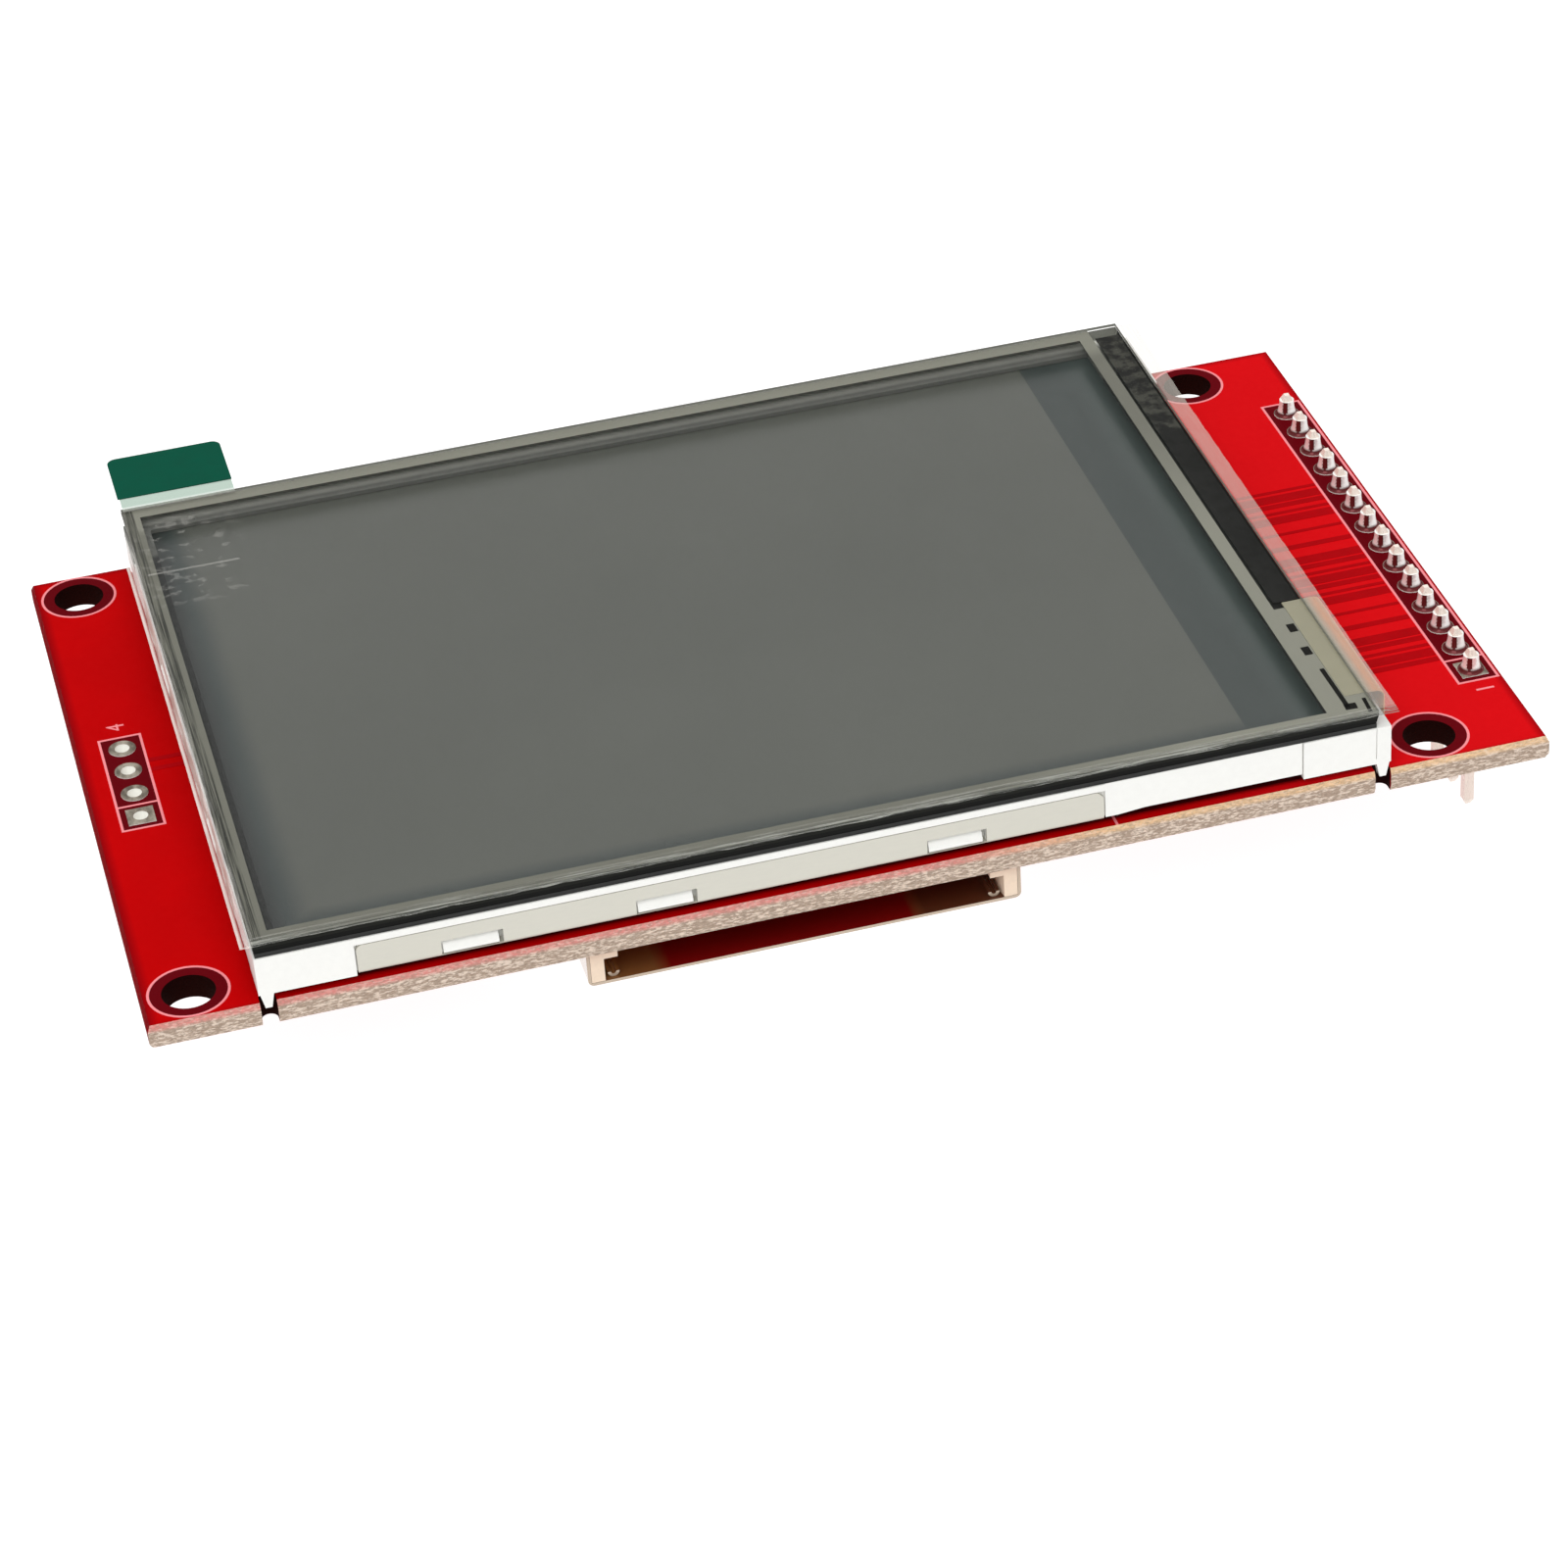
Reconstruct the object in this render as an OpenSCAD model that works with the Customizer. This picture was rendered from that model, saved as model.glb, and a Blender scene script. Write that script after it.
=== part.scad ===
// Colour display module: a touch panel on a backlit liquid crystal display, taped to a circuit board
// that carries a pin header, a memory card socket and the touch controller.
// X runs along the board, Y from its front edge to its back edge, Z up through the screen.
// The origin is the middle of the four mounting holes, on the underside of the board.

/* [Board] */
// Thickness of the circuit board
board_thick = 1.6; // [1.2:0.1:2.4]
// From the left end of the board to the display
left_margin = 6.6; // [6.2:0.1:9]
// From the display to the right end of the board
right_margin = 10.2; // [10:0.1:16]
// How far the board stands out past each long side of the display
side_margin = 0.1; // [0:0.05:1]
// Depth of the score groove on each face of a snapped board edge
score_depth = 0.4; // [0.2:0.05:0.5]
// How far the score groove leans in from the board edge
score_run = 0.18; // [0.1:0.02:0.4]
// Diameter of the mounting holes
hole_dia = 3.2; // [2.4:0.1:3.4]
// From the left end of the board to the left mounting holes
hole_edge = 2.85; // [2.6:0.05:3.2]
// From the right end of the board to the right mounting holes
hole_end = 6.75; // [6:0.05:7.2]
// From each long edge of the board to the mounting holes
hole_side = 2.65; // [2.5:0.05:4]
// Width of the edge notches that take the legs of the display frame
notch_width = 1; // [1:0.1:1.6]
// How far the edge notches run in past the long sides of the display
notch_depth = 1; // [0.9:0.1:2]

/* [Pin header] */
// Number of header pins
pin_count = 14; // [4:1:15]
// Distance from pin to pin, also in the service holes
pin_pitch = 2.54; // [2:0.01:2.54]
// Side of the square pins
pin_square = 0.64; // [0.5:0.02:0.66]
// Length of the pins below the plastic strip
pin_reach = 5.9; // [3:0.1:12]
// Rise of the pins above the board
pin_rise = 1.5; // [1.2:0.1:2]
// Height of the plastic strip
strip_height = 2.54; // [1.5:0.1:3]
// Width of the plastic strip
strip_width = 2.5; // [2.2:0.1:2.6]
// From the right end of the board to the row of pins
header_edge = 1.7; // [1.6:0.1:2.5]

/* [Service holes] */
// Number of service holes
service_count = 4; // [2:1:8]
// From the left end of the board to the row of service holes
service_edge = 2.92; // [2:0.02:3.4]

/* [Plated holes] */
// Width of the copper ring round a plated hole
pad_ring = 0.23; // [0.15:0.01:0.4]
// Thickness of the copper pads
plate_thick = 0.05; // [0.03:0.01:0.05]
// Thickness of the metal sleeve inside a plated hole
sleeve_thick = 0.16; // [0.04:0.02:0.2]

/* [Printing] */
// Width of the printed lines
line_width = 0.16; // [0.1:0.02:0.3]
// Thickness of the printed ink
ink_thick = 0.02; // [0.01:0.01:0.05]
// Diameter of the printed rings round the mounting holes
ring_dia = 4.75; // [4.2:0.05:5]
// From the left end of the board to the tick at the front edge
tick_place = 58.45; // [12:0.5:66]

/* [Display] */
// Length of the display
display_length = 69.2; // [62:0.2:90]
// Width of the display
display_width = 49.8; // [46:0.2:60]
// Thickness of the foam tape under the display
tape_thick = 0.55; // [0.5:0.05:1]
// Wall of the plastic frame beside the glass
frame_wall = 1; // [0.8:0.1:1.2]
// Width of the ledge that carries the glass
ledge_width = 0.9; // [0.6:0.1:1.2]
// Thickness of the light guide
guide_thick = 0.7; // [0.5:0.1:1]
// Thickness of each glass plate of the display
glass_thick = 0.5; // [0.4:0.05:0.7]
// Thickness of each polarising film
polariser_thick = 0.14; // [0.1:0.01:0.2]

/* [Steel tray] */
// Thickness of the steel sheet
tray_sheet = 0.2; // [0.15:0.05:0.25]
// Height of the side walls of the tray
tray_height = 2.1; // [1.8:0.1:2.2]
// Width of the latches that stand in the windows of the tray
latch_width = 3.3; // [2.5:0.1:4]

/* [Touch panel] */
// How far the touch panel ends short of the display at the right
touch_short = 0.8; // [0.6:0.1:1.2]
// Thickness of the tape under the touch panel
touch_tape_thick = 0.3; // [0.2:0.05:0.5]
// Thickness of the glass of the touch panel
touch_glass_thick = 0.7; // [0.5:0.1:1.1]
// Thickness of the spacer between glass and film
spacer_thick = 0.08; // [0.08:0.01:0.15]
// Thickness of the film of the touch panel
touch_film_thick = 0.18; // [0.15:0.01:0.25]
// Width of the printed border of the touch panel
border_width = 1.1; // [0.8:0.1:1.5]

/* [Protective film] */
// Thickness of the protective film
cover_thick = 0.06; // [0.05:0.01:0.1]
// How far the protective film runs past the touch panel at the right
cover_over = 1.15; // [0.8:0.05:1.5]
// Width of the pull tab
tab_width = 7.6; // [5:0.1:12]
// Length of the pull tab
tab_length = 5.2; // [3:0.1:10]

/* [Card socket] */
// Width of the card socket
socket_width = 26.7; // [26:0.1:27]
// Depth of the metal shell of the card socket
socket_depth = 24; // [21:0.5:26]
// Height of the card socket
socket_height = 2.65; // [2.5:0.05:3]
// Sheet of the metal shell
shell_sheet = 0.2; // [0.15:0.05:0.25]
// From the left end of the board to the card socket
socket_left = 25.9; // [24:0.1:28]
// From the front edge of the board to the mouth of the socket
socket_setback = 0.8; // [0.5:0.1:2]

/* [Small parts] */
// Length of a chip resistor or capacitor
chip_length = 1.6; // [1:0.1:1.6]
// Width of a chip resistor or capacitor
chip_width = 0.8; // [0.5:0.1:0.8]

/* [Hidden] */
$fn = 48;
cut = 1;                 // how far a cutting shape runs past the face it cuts
fit = 0.1;               // clearance between pieces that slip together
press = 0.02;            // clearance round a pressed or soldered piece

// Outline of the board, and places on it from its front left corner on the underside
board_length = left_margin + display_length + right_margin;
board_width = display_width + 2 * side_margin;
board_left = -(hole_edge + board_length - hole_end) / 2;
board_front = -board_width / 2;
mid_y = board_width / 2;
hole_xs = [hole_edge, board_length - hole_end];
hole_ys = [hole_side, board_width - hole_side];
header_x = board_length - header_edge;
header_ys = [for (i = [0 : pin_count - 1]) mid_y + (i - (pin_count - 1) / 2) * pin_pitch];
service_ys = [for (i = [0 : service_count - 1]) mid_y + (i - (service_count - 1) / 2) * pin_pitch];
display_z = board_thick + tape_thick;

// Plated holes: each is as wide as a pin from corner to corner, with a little play
pin_play = 0.0075;
barrel = pin_square / sqrt(2) + pin_play;      // inner radius of the sleeve
drill_dia = 2 * (barrel + sleeve_thick);
pad_dia = drill_dia + 2 * pad_ring;
pin_low = -plate_thick - strip_height - pin_reach;
pin_high = board_thick + pin_rise;
pin_tip = 0.16;          // half the width of the flat end of a pin
pin_bare = 0.45;         // end of a pin that the solder leaves bare
solder_rim = 0.03;
pin_slope = 0.35;        // length of the chamfers at the end of a pin
strip_nick = 0.45;       // chamfer between two positions of the strip
box_gap = 0.1;           // between a position of a row and its printed outline
tick_length = 1;

// Legs of the display frame, and the notches that they stand in
leg_width = 0.8;
leg_run = 0.6;           // depth of a leg, from the side of the display
leg_inset = 0.1;
leg_taper = 0.2;
leg_depth = 0.4;         // how far a leg reaches into its notch
leg_xs = [leg_inset + leg_width / 2, display_length - leg_inset - leg_width / 2];
notch_middle = side_margin + notch_depth - notch_width / 2;

// Heights inside the display, from its underside
sheet_thick = 0.08;
reflector_thick = 0.1;
rim_thick = 0.05;
top_play = 0.03;         // frame stands this far above the polariser
guide_z = tray_sheet + reflector_thick;
diffuser_z = guide_z + guide_thick;
lower_prism_z = diffuser_z + sheet_thick;
upper_prism_z = lower_prism_z + sheet_thick;
ledge_z = upper_prism_z + sheet_thick;
rear_polariser_z = ledge_z + rim_thick;
rear_glass_z = rear_polariser_z + polariser_thick;
front_glass_z = rear_glass_z + glass_thick;
front_polariser_z = front_glass_z + glass_thick;
frame_top = front_polariser_z + polariser_thick + top_play;
touch_glass_z = frame_top + touch_tape_thick;
spacer_z = touch_glass_z + touch_glass_thick;
touch_film_z = spacer_z + spacer_thick;
cover_z = touch_film_z + touch_film_thick;
tab_z = cover_z + cover_thick;

// Plan of the glass, with the ledge at its right end that carries the driver chip and the flex
chip_gap = 0.25;
chip_size = [0.9, 18, 0.3];
bond_length = 0.7;
chip_ledge = chip_gap + chip_size[0] + chip_gap / 2 + bond_length;
glass_inset = frame_wall + fit;
well_inset = frame_wall + ledge_width;
film_inset = glass_inset + 0.3;                // polarisers stop short of the glass edge
rim_lap = 0.6;                                 // how far the rim tape lies over the sheets

// Steel tray: its walls leave the corners of the frame free
tray_lead = 5.9;
tray_tail = 18.1;
tray_wall_xs = [tray_lead, display_length - tray_tail];
tray_side = 8;
tray_wall_ys = [tray_side, display_width - tray_side];
tray_corner = 0.4;       // rounding and chamfer of the upper corners of a wall
foot_depth = 2.8;        // corner feet of the frame beside the tray floor
corner_block = 5.55;
tray_lap = 1;            // how far the tray floor runs under the right corner blocks
raised_gap = 0.15;       // the frame is raised this much beside the corner blocks
raised_back = 0.06;      // and its side is set back this much there
block_groove = [0.08, 0.25];                   // groove beside a corner block: width, depth
leg_groove = [0.05, 0.1];                      // and over the inner side of its leg
ramp_start = 0.9;        // from the tray walls to the slope that leads to the raised stretch
ramp_length = 1.7;
latch_shares = [0.148, 0.405, 0.796];          // along a tray wall
latch_xs = [for (share = latch_shares) tray_lead + share * (tray_wall_xs[1] - tray_wall_xs[0])];
latch_ys = [2 * tray_side, display_width - 2 * tray_side];
latch_zs = [0.38, 1.08];
latch_lip = 0.2;
latch_proud = 0.05;
pocket_depth = 0.7;      // pockets under and beside a latch, which free it from the frame
window_zs = [0.22, 1.2];
window_gaps = [0.1, 0.28];                     // left and right of a latch
window_ends = [-latch_width / 2 - window_gaps[0], latch_width / 2 + window_gaps[1]];

// Light strip at the right end of the well
diode_count = 4;
diode_size = [1, 3.8, 0.6];
diode_rim = 0.12;
strip_rest = 0.3;        // light strip past the diodes
flex_thick = 0.1;
lamp_end = well_inset + diode_size[0] + strip_rest + 4 * fit;
guide_insets = [well_inset + fit, well_inset + fit, lamp_end, well_inset + fit];
diode_step = (display_width - 2 * guide_insets[1]) / diode_count;
diode_x = display_length - lamp_end + fit;
groove_dia = 0.4;        // coupling grooves in the edge of the light guide
groove_step = 0.8;

// The two flexible circuits that leave the display at its right end
touch_flex_ys = [2.4, 13.4];
flex_apart = 1.6;
flex_back = 6.8;         // from the wider circuit to the back of the display
display_flex_ys = [touch_flex_ys[1] + flex_apart, display_width - flex_back];
flex_z = -tape_thick + fit;
flex_hang = 9;           // length of a flexible circuit under the display
flex_bend = 0.35;
touch_flex_bend = 0.6;
tape_inset = 3;          // from the edges of the display to the strips of foam tape
tape_width = 4;
touch_flex_out = 0.5;    // how far the touch circuit stands out past the display

// Touch panel and its border
touch_length = display_length - touch_short;
touch_tape_width = 1.6;
edge_bar_width = 0.9;
edge_bar_back = 2;       // from the bar at the right end to the end of the panel
edge_bar_x = touch_length - edge_bar_width - edge_bar_back;
edge_bar_end = edge_bar_x + edge_bar_width;
strip_gap = 0.2;
strip_step = [0.5, 0.8];                       // notch at the front end of the dark strip
strip_back = 1.2;
strip_front = touch_flex_ys[1] - 0.5;
touch_flex_start = edge_bar_end + strip_gap + strip_step[0] + fit;

// Protective film and its tab
cover_left = 0.7;        // how far the film runs past the touch panel at the left
cover_front = 0.4;       // and at the front
tab_start = 1.2;         // from the back of the touch panel to the tab
tab_end = 0.2;           // the tab runs this far past its film
tab_corner = 0.6;

// Card socket, from its mouth's left corner, with Z down from the board
rail_width = 0.95;
rail_slope = 0.12;
rear_bar = 3.2;
rear_drop = 0.3;         // the rear bar is this much lower than the shell
floor_thick = 0.4;
floor_front = 8;
lip_size = [1.9, 2.2, 0.85];                   // fits over the thin edges of the card
contact_count = 9;
contact_width = 0.9;
contact_pitch = 2.5;
contact_thick = 0.15;
contact_tip = 13.5;      // from the mouth to the tips of the contacts
contact_turn = 0.7;      // turned-back end of a contact
contact_ramp = 4.7;
contact_rise = 1.1;
post_dia = 1;
post_inset = 2.2;
post_reach = 0.9;
tail_length = 1.1;
socket_back = socket_depth + rear_bar;
finger_size = [2.4, 8];
finger_slit = 0.5;
finger_front = 6;
window_size = [2.6, 0.8];
window_z = 0.9;
solder_tab = [1.2, 1.6];
curl_radius = 0.35;
curl_bite = 0.01;        // the curls run this far into the shell, so that the two are one piece
curl_length = 1.6;
curl_front = 0.3;
finger_shares = [0.24, 0.76];                  // across the socket
window_shares = [0.3, 0.62];                   // along the side walls of the socket
tab_inset = 1.4;

// Chips on the underside, placed from the right end of the board and its middle line
controller_size = [4.4, 5, 1.1];
small_size = [1.4, 2.9, 1.1];
chip_lift = 0.1;
chip_draft = 0.12;
lead_thick = 0.15;
controller_lead = [0.22, 1];                   // width, and how far it stands out
small_lead = [0.4, 0.6];
controller_lead_pitch = 0.65;
small_ys = [-0.95, 0.95];                      // the two leads on one side of a small chip
dot_dia = 0.6;           // dot that marks the first lead of the controller
dot_inset = 0.8;
dot_depth = 0.08;
cap_length = 0.3;
cap_over = 0.03;         // end caps stand out past the body of a chip part
resistor_height = 0.45;
chip_column = 12.5;                            // columns of small parts, from the right end
part_columns = [16, 18, 22];
small_places = [15, -13];                      // the regulator and the switch, from the middle line
controller_place = 6;
resistor_starts = [-6, -8];                    // first parts of the rows, from the middle line
capacitor_starts = [3.5, 14];
controller_at = [board_length - part_columns[2], mid_y + controller_place];
regulator_at = [board_length - chip_column, mid_y + small_places[0]];
switch_at = [board_length - chip_column, mid_y + small_places[1]];
resistor_rows = [[board_length - part_columns[0], mid_y + resistor_starts[0]],
                 [board_length - part_columns[2], mid_y + resistor_starts[1]]];
capacitor_rows = [[board_length - chip_column, mid_y + capacitor_starts[0]],
                  [board_length - part_columns[1], mid_y + capacitor_starts[1]]];
row_step = 2 * chip_width;
row_count = 4;

module on_board() { translate([board_left, board_front, 0]) children(); }
module under_board() { on_board() mirror([0, 0, 1]) children(); }
module on_display() {
  translate([board_left + left_margin, board_front + side_margin, display_z]) children();
}
module under_socket() { under_board() translate([socket_left, socket_setback, 0]) children(); }

// A flat block between two corners
module block(low, high) { translate(low) cube(high - low); }

// A pane of the display, inset from its edges: left, front, right, back
module pane(insets, z, thick) {
  block([insets[0], insets[1], z],
        [display_length - insets[2], display_width - insets[3], z + thick]);
}

// An outline drawn in X and Z, run along Y between two places
module along_y(y0, y1) {
  translate([0, y1, 0]) rotate([90, 0, 0]) linear_extrude(y1 - y0) children();
}

// An outline drawn in Y and Z, run along X between two places
module along_x(x0, x1) {
  translate([x0, 0, 0]) rotate([90, 0, 90]) linear_extrude(x1 - x0) children();
}

// Cross-section of a board that was snapped along score grooves on both faces
module scored_section(span) {
  polygon([[score_run, 0], [span - score_run, 0], [span, score_depth],
           [span, board_thick - score_depth], [span - score_run, board_thick],
           [score_run, board_thick], [0, board_thick - score_depth], [0, score_depth]]);
}

// Outline of the board with a round-ended notch for each leg of the display
module board_outline() {
  difference() {
    square([board_length, board_width]);
    for (x = leg_xs, side = [0, 1])
      translate([left_margin + x, side * board_width]) mirror([0, side]) {
        translate([-notch_width / 2, -cut]) square([notch_width, notch_middle + cut]);
        translate([0, notch_middle]) circle(d = notch_width);
      }
  }
}

module board() {
  color("#cc0a10") on_board() difference() {
    intersection() {
      linear_extrude(board_thick) board_outline();
      along_x(0, board_length) scored_section(board_width);
      along_y(0, board_width) scored_section(board_length);
    }
    for (x = hole_xs, y = hole_ys)
      translate([x, y, -cut]) cylinder(d = hole_dia, h = board_thick + 2 * cut);
    for (y = header_ys)
      translate([header_x, y, -cut]) cylinder(d = drill_dia, h = board_thick + 2 * cut);
    for (y = service_ys)
      translate([service_edge, y, -cut]) cylinder(d = drill_dia, h = board_thick + 2 * cut);
    for (x = [post_inset, socket_width - post_inset])
      translate([socket_left + x, socket_setback + socket_depth, -cut])
        cylinder(d = post_dia + fit, h = board_thick + 2 * cut);
  }
}

// Printed outline of a row of holes, with a line that sets the first hole apart
module row_box(x, ys, side) {
  low = ys[0] - side / 2;
  high = ys[len(ys) - 1] + side / 2;
  difference() {
    translate([x - side / 2, low]) square([side, high - low]);
    translate([x - side / 2 + line_width, low + line_width])
      square([side - 2 * line_width, high - low - 2 * line_width]);
  }
  translate([x - side / 2, ys[0] + pin_pitch / 2 - line_width / 2]) square([side, line_width]);
}

module board_print() {
  box_side = pin_pitch + 2 * box_gap;
  color("mistyrose") on_board() translate([0, 0, board_thick]) linear_extrude(ink_thick) {
    for (x = hole_xs, y = hole_ys) translate([x, y]) difference() {
      circle(d = ring_dia + line_width);
      circle(d = ring_dia - line_width);
    }
    row_box(header_x, header_ys, box_side);
    row_box(service_edge, service_ys, box_side);
    translate([tick_place, score_run]) square([line_width, tick_length]);
  }
}

// Plated hole: a barrel through the board with a pad on each face
module plated_hole(square_pad) {
  difference() {
    union() {
      cylinder(d = drill_dia, h = board_thick);
      for (z = [-plate_thick, board_thick]) translate([0, 0, z])
        if (square_pad) translate([-pad_dia / 2, -pad_dia / 2, 0]) cube([pad_dia, pad_dia, plate_thick]);
        else cylinder(d = pad_dia, h = plate_thick);
    }
    translate([0, 0, -cut]) cylinder(r = barrel, h = board_thick + 2 * cut);
  }
}

module plated_holes() {
  color("gainsboro") on_board() {
    for (i = [0 : pin_count - 1]) translate([header_x, header_ys[i], 0]) plated_hole(i == 0);
    for (i = [0 : service_count - 1]) translate([service_edge, service_ys[i], 0]) plated_hole(i == 0);
  }
}

// Eight-sided outline of one position of the header strip
module strip_cell() {
  half = strip_width / 2;
  long = pin_pitch / 2;
  nick = strip_nick;
  polygon([[half, -long + nick], [half, long - nick], [half - nick, long], [nick - half, long],
           [-half, long - nick], [-half, nick - long], [nick - half, -long], [half - nick, -long]]);
}

module header_strip() {
  hole = pin_square + 2 * press;
  color("#1b1b1b") on_board() translate([header_x, 0, -plate_thick - strip_height])
    linear_extrude(strip_height) difference() {
      for (y = header_ys) translate([0, y]) strip_cell();
      for (y = header_ys) translate([-hole / 2, y - hole / 2]) square(hole);
    }
}

// Side view of a square pin with chamfered ends
module pin_section() {
  half = pin_square / 2;
  polygon([[-pin_tip, pin_low], [pin_tip, pin_low], [half, pin_low + pin_slope],
           [half, pin_high - pin_slope], [pin_tip, pin_high], [-pin_tip, pin_high],
           [-half, pin_high - pin_slope], [-half, pin_low + pin_slope]]);
}

module header_pins() {
  color("silver") on_board() for (y = header_ys) translate([header_x, y, 0]) intersection() {
    along_x(-pin_square / 2, pin_square / 2) pin_section();
    along_y(-pin_square / 2, pin_square / 2) pin_section();
  }
}

// Solder that fills the plated hole and climbs the pin in a hollow cone
module solder_joints() {
  pad_top = board_thick + plate_thick;
  foot = pad_dia / 2 - solder_rim;
  neck = pin_square / sqrt(2) + solder_rim;
  climb = pin_rise - pin_bare;
  curve = [for (a = [0 : 15 : 90]) [foot - (foot - neck) * sin(a), pad_top + climb * (1 - cos(a))]];
  color("whitesmoke") on_board() for (y = header_ys) translate([header_x, y, 0]) difference() {
    union() {
      rotate_extrude() polygon(concat([[0, pad_top]], curve, [[0, pad_top + climb]]));
      cylinder(r = barrel, h = pad_top);
    }
    translate([-pin_square / 2, -pin_square / 2, -cut])
      cube([pin_square, pin_square, board_thick + pin_rise + 2 * cut]);
  }
}

// Two strips of foam tape, clear of the flexible circuits at the right end
module mounting_tape() {
  color("whitesmoke") on_display() for (y = [tape_inset, display_width - tape_inset - tape_width])
    block([tape_inset, y, -tape_thick],
          [display_length - flex_hang - 2 * tape_inset, y + tape_width, 0]);
}

// Channel of folded sheet, open at the top, with round outer bends
module channel_section(span, height) {
  bend = 2 * tray_sheet;
  difference() {
    union() {
      translate([bend, 0]) square([span - 2 * bend, height]);
      translate([0, bend]) square([span, height - bend]);
      for (y = [bend, span - bend]) translate([y, bend]) circle(r = bend);
    }
    translate([tray_sheet, tray_sheet]) square([span - 2 * tray_sheet, height]);
  }
}

// Cuts for the windows of one tray wall and for its rounded and chamfered upper corners
module wall_cuts(ends, centres) {
  corner = tray_corner;
  for (x = centres) translate([x + window_ends[0], window_zs[0]])
    square([window_ends[1] - window_ends[0], window_zs[1] - window_zs[0]]);
  translate([ends[0], tray_height - corner]) difference() {
    translate([-cut, 0]) square(corner + cut);
    translate([corner, 0]) circle(r = corner);
  }
  translate([ends[1], tray_height - corner])
    polygon([[0, 0], [cut, -cut], [cut, corner + cut], [-corner - cut, corner + cut], [-corner, corner]]);
}

module backlight_tray() {
  x0 = tray_wall_xs[0];
  x1 = tray_wall_xs[1];
  right = display_length - corner_block + tray_lap;
  color("gainsboro") on_display() difference() {
    union() {
      along_x(x0, x1) channel_section(display_width, tray_height);
      block([tray_sheet, foot_depth + fit, 0],
            [right, display_width - foot_depth - fit, tray_sheet]);
      block([0, tray_wall_ys[0], 0], [tray_sheet, tray_wall_ys[1], tray_height]);
    }
    along_y(-cut, display_width + cut) wall_cuts(tray_wall_xs, latch_xs);
    along_x(-cut, 2 * cut) wall_cuts(tray_wall_ys, latch_ys);
  }
}

// Latch with a flat underside, seen from its end, leaning out of the frame wall
module latch_section(out) {
  polygon([[out, latch_zs[0]], [out, latch_zs[0] + latch_lip], [tray_sheet + fit, latch_zs[1]],
           [frame_wall, latch_zs[1]], [frame_wall, latch_zs[0]]]);
}

// Pocket round the underside and the right end of a latch
module latch_pocket() {
  block([-latch_width / 2, 0, tray_sheet - fit], [window_ends[1], pocket_depth, latch_zs[0]]);
  block([latch_width / 2, 0, tray_sheet - fit], [window_ends[1], pocket_depth, latch_zs[1]]);
}

module backlight_frame() {
  recess = tray_sheet + fit / 2;
  ramp_end = tray_wall_xs[1] + ramp_start + ramp_length;
  block_start = display_length - corner_block;
  leg_start = display_length - leg_inset - leg_width;
  proud = -latch_proud;
  well = [well_inset, well_inset, lamp_end - 2 * frame_wall, well_inset];
  color("white") on_display() difference() {
    union() {
      difference() {
        pane([0, 0, 0, 0], tray_sheet, frame_top - tray_sheet);
        // recesses behind the walls of the tray
        for (side = [0, 1]) translate([0, side * display_width, 0]) mirror([0, side, 0]) {
          block([tray_wall_xs[0] - fit, -cut, 0], [tray_wall_xs[1] + fit, recess, tray_height + fit / 2]);
          for (x = latch_xs) translate([x, 0, 0]) latch_pocket();
        }
        block([-cut, tray_wall_ys[0] - fit, 0], [recess, tray_wall_ys[1] + fit, tray_height + fit / 2]);
      }
      // latches
      for (x = latch_xs, side = [0, 1]) translate([0, side * display_width, 0]) mirror([0, side, 0])
        along_x(x - latch_width / 2, x + latch_width / 2) latch_section(proud);
      for (y = latch_ys) translate([0, y, 0]) rotate([0, 0, -90])
        along_x(-latch_width / 2, latch_width / 2) latch_section(proud);
      // corner feet and legs
      for (side = [0, 1], end = [0, 1])
        translate([end * display_length, side * display_width, 0]) mirror([0, side, 0]) mirror([end, 0, 0]) {
          foot = end == 0 ? tray_wall_xs[0] - fit : corner_block;
          block([0, 0, 0], [foot, foot_depth, tray_sheet]);
          along_y(0, leg_run) translate([leg_inset, 0])
            polygon([[0, 0], [leg_taper, -tape_thick - leg_depth],
                     [leg_width - leg_taper, -tape_thick - leg_depth], [leg_width, 0]]);
        }
    }
    // well for the light guide, and the wider bed for the glass above the ledge
    pane(well, -cut, ledge_z + 2 * cut);
    pane([frame_wall, frame_wall, frame_wall, frame_wall], ledge_z, frame_top);
    // raised stretch of the frame between the tray walls and the right corner blocks
    for (side = [0, 1]) translate([0, side * display_width, 0]) mirror([0, side, 0]) {
      along_y(-cut, foot_depth)
        polygon([[ramp_end - 2 * ramp_length, tray_sheet - raised_gap],
                 [ramp_end, tray_sheet + raised_gap], [block_start, tray_sheet + raised_gap],
                 [block_start, tray_sheet - raised_gap]]);
      block([tray_wall_xs[1] + fit, -cut, 0], [block_start, raised_back, frame_top + cut]);
      block([block_start - block_groove[0], -cut, 0], [block_start, block_groove[1], frame_top + cut]);
      block([leg_start - leg_groove[0], -cut, tray_sheet + raised_gap],
            [leg_start, leg_groove[1], frame_top + cut]);
    }
    // gap in the right wall where the flexible circuit of the glass turns down
    block([display_length - frame_wall / 2, display_flex_ys[0] - 4 * fit, -cut],
          [display_length + cut, display_flex_ys[1] + 4 * fit, frame_top + cut]);
    block([display_length - 2 * frame_wall, display_flex_ys[0] - 4 * fit, front_glass_z - fit],
          [display_length + cut, display_flex_ys[1] + 4 * fit, frame_top + cut]);
  }
}

// Sheets in the well of the frame, from the tray up
module reflector_sheet() {
  color("white") on_display() pane(guide_insets, tray_sheet, reflector_thick);
}

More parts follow.
